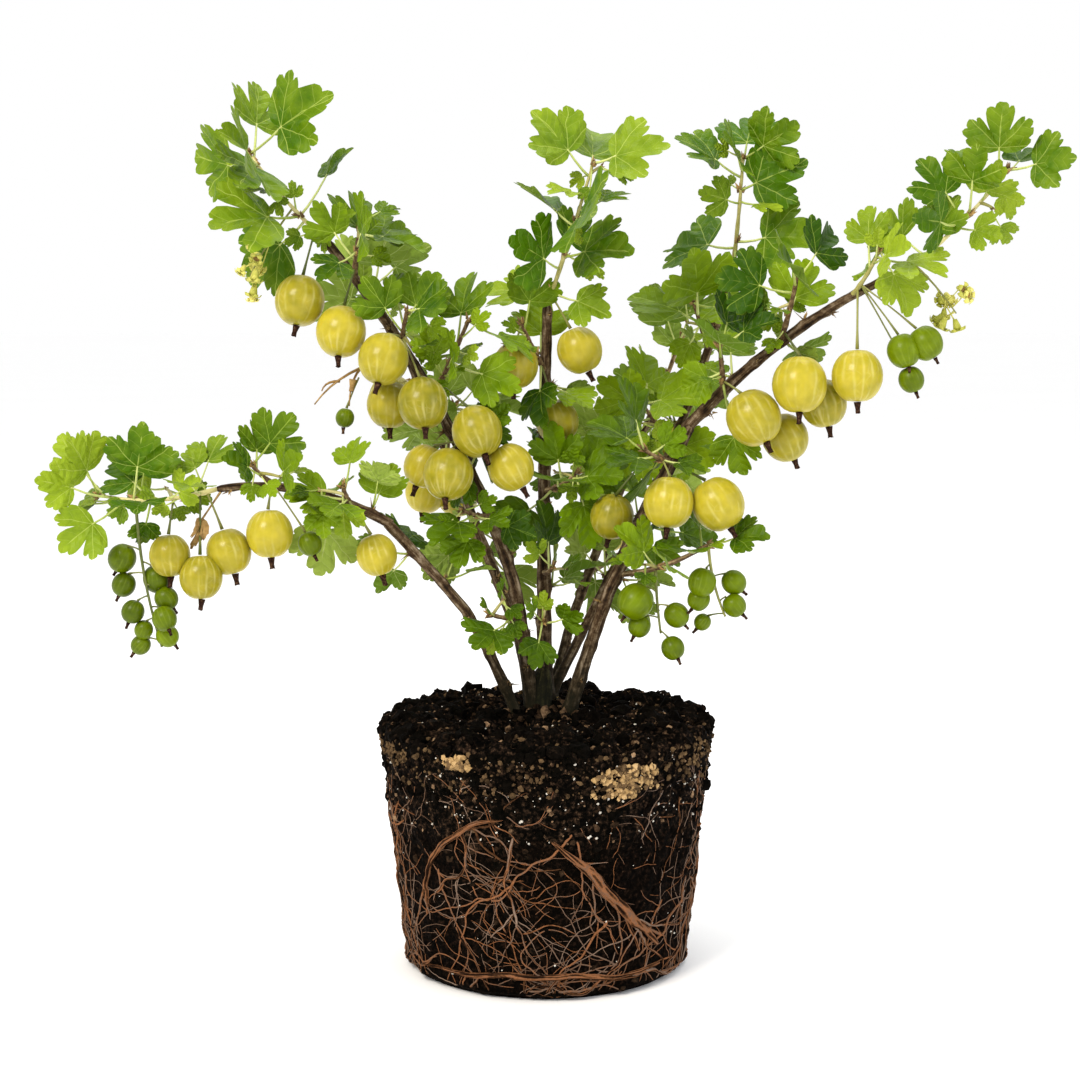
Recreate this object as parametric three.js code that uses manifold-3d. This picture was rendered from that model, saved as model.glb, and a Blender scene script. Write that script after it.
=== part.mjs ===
// A gooseberry bush lifted out of its pot, standing on its root ball.
// Units are millimetres. +Z is up, +X is to the right and -Y is the front. The origin is the
// middle of the root ball's flat underside.
//
// The bush is a short trunk that forks into tapering boughs. Each bough carries masses of
// foliage: a mass is one stem with twigs, leaves, berries and blossom fused to it, grown by a
// seeded rule from the few sizes in its row below.
import * as THREE from 'three';
import { mergeVertices } from 'three/addons/utils/BufferGeometryUtils.js';
import Module from 'manifold-3d';

const wasm = await Module();
wasm.setup();

// Clearance between pieces that meet, and the distance at which points count as one.
const gap = 0.3;
const weld = 1e-3;

// The root ball keeps the shape of the tapered pot it grew in. The trunk's seat on it is flat.
const rootBall = {
  topRadius: 89, bottomRadius: 76, height: 132, sides: 26, wallRings: [0.35, 0.65],
  edge: { width: 6, rise: 3.6, inset: 1 },
  shoulder: { drop: 9, width: 4.5, rise: 2 },
  mound: { outer: 0.7, inner: 0.45, rise: 3 },
  seatRadius: 24, bump: 1.6, seed: 21,
};

// Thick roots that run round the wall of the root ball: the angle round the wall, in degrees
// from +X, and the height, at both ends, with the root's radius and how far it wanders. A root
// stands out of the wall by a part of its radius, and dips into it at both ends.
const wallRoot = { stations: 7, out: 0.3, dip: 2, taper: 0.7, sides: 3 };
const wallRoots = [
  { angle: [272, 318], height: [85, 24], radius: 2.8, wander: 3, seed: 3 },
  { angle: [248, 220], height: [94, 42], radius: 2.2, wander: 5, seed: 8 },
  { angle: [212, 322], height: [10, 12], radius: 2.4, wander: 2, seed: 12 },
  { angle: [20, 78], height: [88, 16], radius: 2.6, wander: 5, seed: 23 },
  { angle: [100, 168], height: [24, 84], radius: 2.4, wander: 5, seed: 29 },
];

// The trunk stands on the root ball and flares at its foot.
const trunk = { foot: [-2, 0], lean: [2, 3], height: 33, radius: 9.5, flare: 0.55, sides: 10, steps: 4 };

// A bough runs from its foot, or from the tip of the bough it goes on from, to its own tip, and
// bows aside by this much at the middle.
const boughShape = { sides: 6, steps: 8 };
const boughs = {
  centre: { foot: [-0.5, 3, 154], tip: [1, 10, 353], bow: [-1, 9, 0], radius: [5, 3] },
  left_high: { foot: [-2, 0, 149], tip: [-117, 0, 388], bow: [15, -12, 8], radius: [4.8, 2.8] },
  right_back: { foot: [1, 3, 150], tip: [104, 56, 377], bow: [11, 20, -4], radius: [4, 2.6] },
  right: { foot: [2, -3, 139], tip: [75, -18, 291], bow: [-1, -7, -3], radius: [5, 4] },
  right_arm: { from: 'right', tip: [181, -40, 369], bow: [0, 0, 9], radius: [3.7, 2.3] },
  left_low: { foot: [-3, -1, 142], tip: [-83, -28, 241], bow: [-4, -2, 7], radius: [3.7, 3.2] },
  left_low_arm: { from: 'left_low', tip: [-168, -42, 259], bow: [0, -3, 8], radius: [3.1, 2.2] },
  back_left: { foot: [-3, 3, 147], tip: [-82, 104, 330], bow: [4, 10, -10], radius: [4, 2.5] },
  back_right: { foot: [1, 4, 144], tip: [66, 108, 300], bow: [-4, 12, -6], radius: [3.8, 2.5] },
};

// Twigs and stalks are three-sided. A stem bends outwards and sags, and is bare for a collar's
// length where it leaves the bark.
const twig = { sides: 3, steps: 3, foot: 2.2, tip: 1.6, bend: 4, sag: 0.06, collar: 3 };
const stalk = { foot: 0.7, tip: 0.9 };

// A leaf has five lobes. Its half outline is given from the tip backwards, as the angle from
// the midrib and the distance from the top of the stalk, in blade lengths. The upper side is
// held up (face) and out to the front or back of the bush. Where a leaf has no room it is
// turned aside, or a little smaller.
const leaf = {
  blade: 31, stalk: 16, stalkWidth: 1.2, thickness: 1.6, spacing: 3.5,
  halfOutline: [[0, 1], [27, 0.74], [50, 0.92], [79, 0.6], [106, 0.66], [152, 0.24]],
  droop: 0.2, cup: 0.1, face: 0.6, lean: [10, 40],
  aimSpread: 9, rollSpread: 32, sizeSpread: 0.16, stalkSpread: 0.25,
  sizes: [1, 0.8], aimTurns: [0, 15, -15, 30, -30], leanTurns: [0, 20, -20, 40, -40, 60, -60],
  clearance: 0.4, bladeFrom: 0.6,
};

// Fruit: the faces round and from pole to pole of large and small berries, and of blossom.
const fruitFaces = { large: [7, 4], small: [5, 3], blossom: [4, 2], largeFrom: 18 };

// Along a strig the berries hang to both sides by turns, by these parts of their size. Flowers
// hang one below the other.
const strig = { bow: 0.2, last: 0.96, above: 0.06, aside: 0.56, outwards: 0.36, below: 0.4, sizeSpread: 0.1 };
const blossom = { size: 8, aside: 7, outwards: 5, first: 8, step: 7 };

// Masses of foliage. The stem of each leaves its bough at the fraction "at" and reaches this
// far. A spray is a fan of leaves at a fraction of the stem, from one angle to the other in the
// XZ plane, with 0 at +X and 90 straight up, and "lean" turns it outwards. Single fruit, strigs
// of small fruit and blossom hang from a fraction of the stem, and "drop" leads to them.
const masses = [
  { name: 'left_low_tip', bough: 'left_low_arm', at: 1, reach: [-60, -2, -3], seed: 11,
    sprays: [
      { at: 1, leaves: 5, fan: [105, 225], blade: 27, stalk: 22, lean: 8 },
      { at: 0.7, leaves: 4, fan: [70, 140], blade: 29, lean: 10 },
      { at: 0.55, leaves: 1, fan: [262, 262], blade: 20, lean: -10 },
      { at: 0.25, leaves: 4, fan: [50, 125], blade: 22, stalk: 20 },
    ],
    fruit: [
      { at: 0.36, drop: [-2, -3, -29], size: 21 },
      { at: 0.14, drop: [1, -8, -42], size: 22 },
      { at: 0.05, drop: [9, -3, -31], size: 23 },
    ],
    strigs: [{ at: 0.68, drop: [14, -4, -80], berries: 9, size: 14, from: 0.38 }] },
  { name: 'left_low_mid', bough: 'left_low_arm', at: 0.62, reach: [-14, -6, 12], seed: 23,
    sprays: [{ at: 1, leaves: 4, fan: [50, 185], blade: 23, stalk: 14 }],
    fruit: [{ at: 0, drop: [-5, -9, -23], size: 24 }, { at: 0, drop: [14, -6, -26], size: 14 }] },
  { name: 'left_low_inner', bough: 'left_low_arm', at: 0.2, reach: [-4, -8, 11], seed: 31,
    sprays: [{ at: 1, leaves: 5, fan: [30, 215], blade: 22, stalk: 16 }],
    fruit: [{ at: 0, drop: [13, -6, -25], size: 21 }] },
  { name: 'left_high_tip', bough: 'left_high', at: 1, reach: [-37, -6, 43], seed: 43,
    sprays: [
      { at: 1, leaves: 4, fan: [34, 172], blade: 33, stalk: 21 },
      { at: 0.9, leaves: 1, fan: [70, 70], blade: 33, stalk: 12, lean: 30 },
      { at: 0.3, leaves: 2, fan: [188, 214], blade: 32, stalk: 20 },
      { at: 0.3, leaves: 1, fan: [62, 62], blade: 27, stalk: 22, lean: -30 },
    ],
    fruit: [{ at: 0, drop: [-11, -13, -33], size: 26 }],
    blossom: [{ at: 0.4, drop: [-19, -6, -30], flowers: 4 }] },
  { name: 'left_high_upper', bough: 'left_high', at: 0.9, reach: [3, -6, 23], seed: 57,
    sprays: [
      { at: 1, leaves: 5, fan: [-10, 118], blade: 28, stalk: 16 },
      { at: 0.6, leaves: 1, fan: [215, 215], blade: 25, lean: 30 },
    ],
    fruit: [{ at: 0, drop: [-6, -15, -28], size: 26 }] },
  { name: 'left_high_side', bough: 'left_high', at: 0.74, reach: [4, -14, 18], seed: 61,
    sprays: [{ at: 1, leaves: 6, fan: [0, 175], blade: 24, stalk: 14, lean: 20 }],
    fruit: [
      { at: 0, drop: [-8, -20, -7], size: 26 },
      { at: 0.1, drop: [12, -22, -31], size: 26 },
      { at: 0, drop: [-6, -5, -31], size: 24 },
    ] },
  { name: 'left_high_right', bough: 'left_high', at: 0.62, reach: [19, -6, 40], seed: 71,
    sprays: [
      { at: 1, leaves: 6, fan: [-25, 118], blade: 29, stalk: 16 },
      { at: 0.5, leaves: 4, fan: [-20, 100], blade: 26, lean: 25 },
    ],
    fruit: [{ at: 0.2, drop: [20, -18, -24], size: 26 }] },
  { name: 'left_high_low', bough: 'left_high', at: 0.54, reach: [14, -10, -8], seed: 83,
    sprays: [{ at: 1, leaves: 5, fan: [-110, 25], blade: 26, stalk: 15, lean: 15 }],
    fruit: [
      { at: 0, drop: [-1, -22, -20], size: 26 },
      { at: 0, drop: [-14, -6, -17], size: 22 },
      { at: 1, drop: [17, -4, -9], size: 24 },
    ] },
  { name: 'left_inner', bough: 'left_high', at: 0.36, reach: [-14, -9, 4], seed: 97,
    sprays: [
      { at: 1, leaves: 5, fan: [105, 255], blade: 25, stalk: 15, lean: 10 },
      { at: 0.3, leaves: 3, fan: [-20, 60], blade: 25, lean: -20 },
    ] },
  { name: 'left_foot', bough: 'left_high', at: 0.15, reach: [-18, -10, 2], seed: 101,
    sprays: [{ at: 1, leaves: 6, fan: [50, 232], blade: 25, stalk: 16, lean: 10 }] },
  { name: 'centre_top', bough: 'centre', at: 1, reach: [24, -4, 74], seed: 113,
    sprays: [
      { at: 1, leaves: 3, fan: [25, 135], blade: 33, stalk: 15 },
      { at: 0.62, leaves: 2, fan: [18, 145], blade: 34, stalk: 16 },
      { at: 0.36, leaves: 3, fan: [10, 125], blade: 28, lean: 25 },
      { at: 0.1, leaves: 2, fan: [-15, 165], blade: 26, lean: -10 },
    ],
    fruit: [{ at: 0, drop: [17, -4, -24], size: 24 }] },
  { name: 'centre_upper', bough: 'centre', at: 0.82, reach: [-13, -10, 26], seed: 127,
    sprays: [
      { at: 1, leaves: 4, fan: [20, 180], blade: 30, stalk: 14 },
      { at: 0.4, leaves: 3, fan: [185, 260], blade: 27, lean: 10 },
    ],
    fruit: [{ at: 1, drop: [-3, -2, -22], size: 24 }, { at: 0, drop: [6, -6, -26], size: 23 }] },
  { name: 'centre_mid', bough: 'centre', at: 0.5, reach: [17, -15, 10], seed: 131,
    sprays: [
      { at: 1, leaves: 5, fan: [-70, 125], blade: 33, stalk: 14 },
      { at: 0.2, leaves: 2, fan: [175, 225], blade: 28, lean: -10 },
    ] },
  { name: 'centre_low', bough: 'centre', at: 0.28, reach: [5, -15, 5], seed: 149,
    sprays: [{ at: 1, leaves: 5, fan: [25, 190], blade: 33, stalk: 13, lean: 10 }] },
  { name: 'centre_foot', bough: 'centre', at: 0.15, reach: [-1, -16, 2], seed: 151,
    sprays: [
      { at: 1, leaves: 1, fan: [262, 262], blade: 21, stalk: 12 },
      { at: 0.8, leaves: 2, fan: [20, 160], blade: 21, stalk: 13 },
    ] },
  { name: 'right_back_top', bough: 'right_back', at: 1, reach: [4, -6, 56], seed: 163,
    sprays: [
      { at: 1, leaves: 4, fan: [38, 148], blade: 31, stalk: 15 },
      { at: 0.7, leaves: 1, fan: [20, 20], blade: 34, stalk: 12, lean: 5 },
      { at: 0.2, leaves: 2, fan: [15, 165], blade: 30 },
    ] },
  { name: 'right_back_upper', bough: 'right_back', at: 0.8, reach: [-9, -12, 25], seed: 173,
    sprays: [{ at: 1, leaves: 5, fan: [-15, 212], blade: 34, stalk: 16 }] },
  { name: 'right_back_mid', bough: 'right_back', at: 0.58, reach: [-19, -16, 22], seed: 181,
    sprays: [
      { at: 1, leaves: 5, fan: [15, 235], blade: 34, stalk: 14 },
      { at: 0.4, leaves: 2, fan: [-35, 40], blade: 30, lean: 10 },
    ] },
  { name: 'right_back_low', bough: 'right_back', at: 0.32, reach: [14, 12, 12], seed: 193,
    sprays: [{ at: 1, leaves: 5, fan: [-20, 150], blade: 31, lean: -20 }] },
  { name: 'right_stem_top', bough: 'right', at: 0.88, reach: [-15, -10, 7], seed: 199,
    sprays: [
      { at: 1, leaves: 5, fan: [110, 270], blade: 30, stalk: 14 },
      { at: 0, leaves: 1, fan: [-35, -35], blade: 25, lean: -25 },
    ],
    fruit: [
      { at: 0.05, drop: [-2, -17, -20], size: 26 },
      { at: 0, drop: [23, -15, -21], size: 27 },
      { at: 0.8, drop: [-19, 14, -34], size: 23 },
    ] },
  { name: 'right_stem_low', bough: 'right', at: 0.5, reach: [47, -10, 17], seed: 211,
    sprays: [
      { at: 1, leaves: 3, fan: [22, 165], blade: 23, stalk: 16 },
      { at: 0.5, leaves: 2, fan: [60, 120], blade: 23 },
    ],
    strigs: [
      { at: 0.42, drop: [3, -4, -36], berries: 4, size: 16, from: 0.4 },
      { at: 1, drop: [10, -2, -40], berries: 5, size: 14, from: 0.32 },
    ] },
  { name: 'right_arm_inner', bough: 'right_arm', at: 0.16, reach: [-3, -10, 24], seed: 223,
    sprays: [
      { at: 1, leaves: 4, fan: [25, 155], blade: 29 },
      { at: 0, leaves: 1, fan: [-70, -70], blade: 30, lean: -30, stalk: 26 },
    ],
    fruit: [{ at: 0, drop: [14, -20, -13], size: 28 }, { at: 0, drop: [32, -4, -24], size: 24 }] },
  { name: 'right_arm_mid', bough: 'right_arm', at: 0.43, reach: [8, -6, 36], seed: 227,
    sprays: [
      { at: 1, leaves: 4, fan: [-8, 160], blade: 29, stalk: 17 },
      { at: 0.4, leaves: 2, fan: [-25, 60], blade: 25, lean: -20 },
    ],
    fruit: [{ at: 0, drop: [8, -18, -21], size: 28 }, { at: 0, drop: [22, -5, -31], size: 24 }] },
  { name: 'right_arm_outer', bough: 'right_arm', at: 0.76, reach: [13, -8, 23], seed: 233,
    sprays: [{ at: 1, leaves: 5, fan: [-60, 150], blade: 27, stalk: 16 }],
    fruit: [
      { at: 0, drop: [2, -12, -40], size: 26 },
      { at: 0.3, drop: [17, -10, -31], size: 17 },
      { at: 0.3, drop: [35, -8, -31], size: 17 },
      { at: 0.3, drop: [27, -6, -47], size: 15 },
    ] },
  { name: 'right_tip', bough: 'right_arm', at: 1, reach: [51, -4, 51], seed: 239,
    sprays: [
      { at: 1, leaves: 4, fan: [5, 128], blade: 27, stalk: 18 },
      { at: 0.62, leaves: 3, fan: [95, 172], blade: 29, stalk: 18 },
      { at: 0.25, leaves: 2, fan: [60, 130], blade: 25, lean: 10 },
    ],
    blossom: [{ at: 0.1, drop: [20, -4, -20], flowers: 4 }] },
  { name: 'back_left_tip', bough: 'back_left', at: 1, reach: [-20, 14, 34], seed: 251, side: 'back',
    sprays: [
      { at: 1, leaves: 4, fan: [40, 165], blade: 33, stalk: 18 },
      { at: 0.4, leaves: 3, fan: [10, 200], blade: 30 },
    ],
    fruit: [{ at: 0, drop: [-8, 10, -30], size: 26 }] },
  { name: 'back_left_mid', bough: 'back_left', at: 0.72, reach: [4, 22, 26], seed: 257, side: 'back',
    sprays: [
      { at: 1, leaves: 5, fan: [-10, 190], blade: 31 },
      { at: 0.4, leaves: 2, fan: [200, 250], blade: 28 },
    ],
    fruit: [{ at: 0, drop: [6, 14, -26], size: 25 }, { at: 0, drop: [-12, 8, -24], size: 24 }] },
  { name: 'back_left_low', bough: 'back_left', at: 0.45, reach: [-16, 18, 12], seed: 263, side: 'back',
    sprays: [{ at: 1, leaves: 5, fan: [30, 215], blade: 30 }] },
  { name: 'back_right_tip', bough: 'back_right', at: 1, reach: [14, 14, 36], seed: 269, side: 'back',
    sprays: [
      { at: 1, leaves: 4, fan: [25, 145], blade: 33, stalk: 18 },
      { at: 0.4, leaves: 3, fan: [-20, 180], blade: 30 },
    ],
    fruit: [{ at: 0, drop: [8, 10, -30], size: 26 }] },
  { name: 'back_right_mid', bough: 'back_right', at: 0.7, reach: [-12, 20, 26], seed: 271, side: 'back',
    sprays: [{ at: 1, leaves: 6, fan: [-20, 200], blade: 31 }],
    fruit: [{ at: 0, drop: [-6, 14, -24], size: 25 }] },
  { name: 'back_right_low', bough: 'back_right', at: 0.42, reach: [16, 16, 8], seed: 277, side: 'back',
    sprays: [{ at: 1, leaves: 5, fan: [-35, 120], blade: 30 }] },
];

const surfaces = {
  foliage: { color: 0x5c9422, roughness: 0.6 },
  bark: { color: 0x6a5746, roughness: 0.85 },
  compost: { color: 0x241a13, roughness: 0.95 },
};

// ---- Small helpers

const vector = ([x, y, z]) => new THREE.Vector3(x, y, z);
const degrees = THREE.MathUtils.degToRad;
const mix = THREE.MathUtils.lerp;

// Numbers from 0 to 1 that are the same on every run: each is the one before times a factor,
// less the whole number of times it holds the modulus.
const series = { apart: 7919, first: 17, factor: 16807, modulus: 2147483647 };
function seeded(seed) {
  let state = seed * series.apart + series.first;
  return () => {
    state = (state * series.factor) % series.modulus;
    return state / series.modulus;
  };
}

// The direction with this angle in the XZ plane, turned towards the front by "lean".
function heading(aim, lean) {
  const flat = Math.cos(degrees(lean));
  const outwards = -Math.sin(degrees(lean));
  return new THREE.Vector3(Math.cos(degrees(aim)) * flat, outwards, Math.sin(degrees(aim)) * flat);
}

// The curve from one point to another that bows aside at its middle. Such a curve passes halfway
// between its chord and its control point, so the control point lies twice as far out.
function bowed(start, end, bow) {
  const middle = start.clone().add(end).multiplyScalar(0.5).addScaledVector(bow, 2);
  return new THREE.QuadraticBezierCurve3(start, middle, end);
}

// ---- Solids

function solidOf(geometry) {
  geometry.deleteAttribute('normal');
  geometry.deleteAttribute('uv');
  const merged = mergeVertices(geometry, weld);
  const vertProperties = new Float32Array(merged.attributes.position.array);
  const triVerts = new Uint32Array(merged.index.array);
  return new wasm.Manifold(new wasm.Mesh({ numProp: 3, vertProperties, triVerts }));
}

function geometryOf(solid) {
  const mesh = solid.getMesh();
  const geometry = new THREE.BufferGeometry();
  geometry.setAttribute('position', new THREE.BufferAttribute(new Float32Array(mesh.vertProperties), 3));
  geometry.setIndex(new THREE.BufferAttribute(new Uint32Array(mesh.triVerts), 1));
  return geometry;
}

const joined = (solids) => solids.reduce((sum, solid) => sum.add(solid));

// A solid with the box round it, so that far neighbours are passed over quickly.
function boxed(geometry) {
  geometry.computeBoundingBox();
  return { solid: solidOf(geometry), box: geometry.boundingBox };
}

const touches = (a, b) => a.box.intersectsBox(b.box) && !a.solid.intersect(b.solid).isEmpty();

// A cylinder bent along a curve, with its radius given along the way.
function limbGeometry(curve, radiusAt, sides, steps) {
  const geometry = new THREE.CylinderGeometry(1, 1, 1, sides, steps);
  const frames = curve.computeFrenetFrames(steps, false);
  const position = geometry.attributes.position;
  for (let i = 0; i < position.count; i += 1) {
    const step = Math.round((position.getY(i) + 0.5) * steps);
    const radius = radiusAt(step / steps);
    const point = curve.getPoint(step / steps)
      .addScaledVector(frames.normals[step], position.getX(i) * radius)
      .addScaledVector(frames.binormals[step], -position.getZ(i) * radius);
    position.setXYZ(i, point.x, point.y, point.z);
  }
  return geometry;
}

const tapered = ([foot, tip], grow) => (t) => mix(foot, tip, t) + grow;

// ---- Trunk and boughs

// The trunk grows out of the middle of the root ball, and its foot is cut flat.
function trunkGeometry(grow) {
  const foot = new THREE.Vector3(...trunk.foot, rootBall.height + gap);
  const tip = foot.clone().add(new THREE.Vector3(...trunk.lean, trunk.height + grow));
  const curve = new THREE.QuadraticBezierCurve3(foot, foot.clone().setZ((foot.z + tip.z) / 2), tip);
  const radiusAt = (t) => trunk.radius * (1 + trunk.flare * (1 - t) ** 3) + grow;
  return limbGeometry(curve, radiusAt, trunk.sides, trunk.steps);
}

function boughCurve({ foot, from, tip, bow }) {
  return bowed(vector(from ? boughs[from].tip : foot), vector(tip), vector(bow));
}

// "grow" makes a bough thicker and longer at both ends, as the space that others keep out of.
function boughGeometry(bough, grow) {
  const curve = boughCurve(bough);
  curve.v0.addScaledVector(curve.getTangent(0), -grow);
  curve.v2.addScaledVector(curve.getTangent(1), grow);
  return limbGeometry(curve, tapered(bough.radius, grow), boughShape.sides, boughShape.steps);
}

// ---- Foliage: the growing rule

// Works out where everything in a mass goes: twigs, stalks, berries, blossom and leaves.
function grow(mass) {
  const random = seeded(mass.seed);
  const spread = (amount) => (random() * 2 - 1) * amount;
  const back = mass.side === 'back';
  const face = new THREE.Vector3(0, back ? 1 : -1, leaf.face);
  const bough = boughs[mass.bough];
  const start = boughCurve(bough).getPoint(mass.at);
  const reach = vector(mass.reach);
  const bend = new THREE.Vector3(0, back ? twig.bend : -twig.bend, -twig.sag * Math.hypot(reach.x, reach.y));
  const stem = bowed(start, start.clone().add(reach), bend);
  const outside = (mix(...bough.radius, mass.at) + twig.collar) / reach.length();
  const onStem = (at) => stem.getPoint(Math.max(at, outside));
  const twigs = [{ curve: stem, radius: [twig.foot, twig.tip], steps: twig.steps }];
  const berries = [];
  const hang = (top, centre, size) => {
    berries.push({ centre, radius: size / 2, top });
  };
  for (const { at, drop, size } of mass.fruit ?? []) {
    hang(onStem(at), stem.getPoint(at).add(vector(drop)), size);
  }
  for (const { at, drop, berries: count, size, from } of mass.strigs ?? []) {
    const top = onStem(at);
    const bow = new THREE.Vector3(-drop[0] * strig.bow, 0, 0);
    const string = bowed(top, top.clone().add(vector(drop)), bow);
    twigs.push({ curve: string, radius: [stalk.foot, stalk.tip], steps: twig.steps });
    for (let k = 0; k < count; k += 1) {
      const joint = string.getPoint(mix(from, strig.last, k / (count - 1)) - strig.above);
      const aside = k % 2 ? strig.aside : -strig.aside;
      const side = new THREE.Vector3(aside, spread(strig.outwards), -strig.below).multiplyScalar(size);
      hang(joint, joint.clone().add(side), size * (1 + spread(strig.sizeSpread)));
    }
  }
  for (const { at, drop, flowers } of mass.blossom ?? []) {
    const top = onStem(at);
    for (let k = 0; k < flowers; k += 1) {
      const below = blossom.first - k * blossom.step;
      const side = new THREE.Vector3(spread(blossom.aside), spread(blossom.outwards), below);
      hang(top, top.clone().add(vector(drop)).add(side), blossom.size);
    }
  }
  const leaves = [];
  for (const spray of mass.sprays) {
    const { at, leaves: count, fan, blade = leaf.blade, stalk: length = leaf.stalk, lean = 0 } = spray;
    const step = leaf.spacing / reach.length();
    for (let k = 0; k < count; k += 1) {
      const along = count > 1 ? k / (count - 1) : 0;
      leaves.push({
        root: onStem(at - step * k),
        face,
        aim: mix(...fan, along) + spread(leaf.aimSpread),
        lean: (lean + (k % 2 ? -1 : 1) * mix(...leaf.lean, random())) * (back ? -1 : 1),
        roll: spread(leaf.rollSpread),
        blade: blade * (1 + spread(leaf.sizeSpread)),
        stalk: length * (1 + spread(leaf.stalkSpread)),
      });
    }
  }
  return { twigs, berries, leaves };
}

// ---- Foliage: its solids

// A leaf flat in XY, with its stalk's root at the origin, then cupped and drooped. Its faces
// rise from the outline to the top of the stalk, where the veins meet: two rows of a sphere's
// faces, with the equator moved to the outline. The solid begins at the height "from".
function flatLeaf(blade, stalkLength, thickness, from) {
  const half = leaf.halfOutline.map(([angle, distance]) => new THREE.Vector2(
    Math.sin(degrees(angle)) * distance * blade,
    stalkLength + Math.cos(degrees(angle)) * distance * blade,
  ));
  const mirrored = half.slice(1).map(({ x, y }) => new THREE.Vector2(-x, y));
  const foot = [-1, 1].map((side) => new THREE.Vector2(side * leaf.stalkWidth / 2, from));
  const outline = [...foot, ...half.slice(1).reverse(), half[0], ...mirrored];
  const centre = new THREE.Vector2(0, stalkLength);
  const geometry = new THREE.SphereGeometry(1, outline.length, 2);
  const position = geometry.attributes.position;
  for (let i = 0; i < position.count; i += 1) {
    const row = Math.floor(i / (outline.length + 1));
    const { x, y } = row === 1 ? outline[(i % (outline.length + 1)) % outline.length] : centre;
    const past = Math.max(0, y - stalkLength) / blade;
    const lift = leaf.cup * Math.abs(x) - leaf.droop * blade * past ** 2;
    position.setXYZ(i, x, y, (1 - row) * thickness / 2 + lift);
  }
  return geometry;
}

// Sets a leaf on its twig: along its heading, with its upper side turned to "face".
function leafGeometry(item, turn, clearance, from) {
  const { root, face, aim, lean, roll, blade, stalk: stalkLength } = item;
  const along = heading(aim + turn.aim, lean + turn.lean);
  const upper = face.clone().addScaledVector(along, -face.dot(along)).normalize();
  upper.applyAxisAngle(along, degrees(roll));
  const across = along.clone().cross(upper);
  const length = blade * turn.size + clearance;
  const geometry = flatLeaf(length, stalkLength, leaf.thickness + 2 * clearance, from);
  return geometry.applyMatrix4(new THREE.Matrix4().makeBasis(across, along, upper).setPosition(root));
}

function berryGeometries({ centre, radius, top }) {
  const berry = 2 * radius >= fruitFaces.largeFrom ? 'large' : 'small';
  const kind = 2 * radius > blossom.size ? berry : 'blossom';
  const ball = new THREE.SphereGeometry(radius, ...fruitFaces[kind]).rotateX(Math.PI / 2);
  ball.translate(centre.x, centre.y, centre.z);
  const hanger = new THREE.LineCurve3(top, centre);
  return [ball, limbGeometry(hanger, tapered([stalk.foot, stalk.tip], 0), twig.sides, 1)];
}

function twigGeometry({ curve, radius, steps }) {
  return limbGeometry(curve, tapered(radius, 0), twig.sides, steps);
}

// ---- Root ball

function rootBallSolid() {
  const { topRadius, bottomRadius, height, sides, wallRings } = rootBall;
  const { edge, shoulder, mound, seatRadius, bump } = rootBall;
  const radiusAt = (z) => mix(bottomRadius, topRadius, z / height);
  const profile = [
    [0, 0],
    [bottomRadius - edge.width, 0],
    [bottomRadius - edge.inset, edge.rise],
    ...wallRings.map((part) => [radiusAt(height * part), height * part]),
    [topRadius, height - shoulder.drop],
    [topRadius - shoulder.width, height - shoulder.rise],
    [topRadius * mound.outer, height + mound.rise],
    [topRadius * mound.inner, height + mound.rise / 2],
    [seatRadius, height],
    [0, height],
  ].map(([r, z]) => new THREE.Vector2(r, z));
  const geometry = new THREE.LatheGeometry(profile, sides).rotateX(Math.PI / 2);
  geometry.deleteAttribute('normal');
  geometry.deleteAttribute('uv');
  const core = mergeVertices(geometry, weld);

  // The wall and the top are lumpy; the underside and the seat stay flat.
  const random = seeded(rootBall.seed);
  const position = core.attributes.position;
  for (let i = 0; i < position.count; i += 1) {
    const [x, y, z] = [position.getX(i), position.getY(i), position.getZ(i)];
    const out = Math.hypot(x, y);
    const push = (random() * 2 - 1) * bump;
    const rise = (random() * 2 - 1) * bump;
    if (z > weld && out > seatRadius + weld) {
      const onTop = z > height - shoulder.drop - weld;
      position.setXYZ(i, x * (1 + push / out), y * (1 + push / out), onTop ? z + rise : z);
    }
  }
  const roots = wallRoots.map((root) => solidOf(wallRootGeometry(root, radiusAt)));
  return joined([solidOf(core), ...roots]);
}

function wallRootGeometry({ angle, height, radius, wander, seed }, radiusAt) {
  const random = seeded(seed);
  const last = wallRoot.stations - 1;
  const points = [];
  for (let k = 0; k <= last; k += 1) {
    const end = k === 0 || k === last;
    const z = mix(...height, k / last) + (random() * 2 - 1) * (end ? 0 : wander);
    const turn = degrees(mix(...angle, k / last));
    const out = radiusAt(z) + radius * (end ? wallRoot.out - wallRoot.dip : wallRoot.out);
    points.push(new THREE.Vector3(Math.cos(turn) * out, Math.sin(turn) * out, z));
  }
  const curve = new THREE.CatmullRomCurve3(points);
  const radii = [radius, radius * wallRoot.taper];
  return limbGeometry(curve, tapered(radii, 0), wallRoot.sides, wallRoot.stations);
}

// ---- Assembly

const bush = new THREE.Group();

function addPart(name, solid, surface) {
  const material = new THREE.MeshStandardMaterial({ ...surface, metalness: 0 });
  const mesh = new THREE.Mesh(geometryOf(solid), material);
  mesh.name = name;
  bush.add(mesh);
}

addPart('root_ball', rootBallSolid(), surfaces.compost);
addPart('trunk', solidOf(trunkGeometry(0)), surfaces.bark);

// Each bough is cut clear of the trunk and of the boughs before it.
const keepClear = [boxed(trunkGeometry(gap))];
for (const [name, bough] of Object.entries(boughs)) {
  const piece = boxed(boughGeometry(bough, 0));
  for (const other of keepClear) {
    if (touches(piece, other)) piece.solid = piece.solid.subtract(other.solid);
  }
  keepClear.push(boxed(boughGeometry(bough, gap)));
  addPart(`bough_${name}`, piece.solid, surfaces.bark);
}

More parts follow.
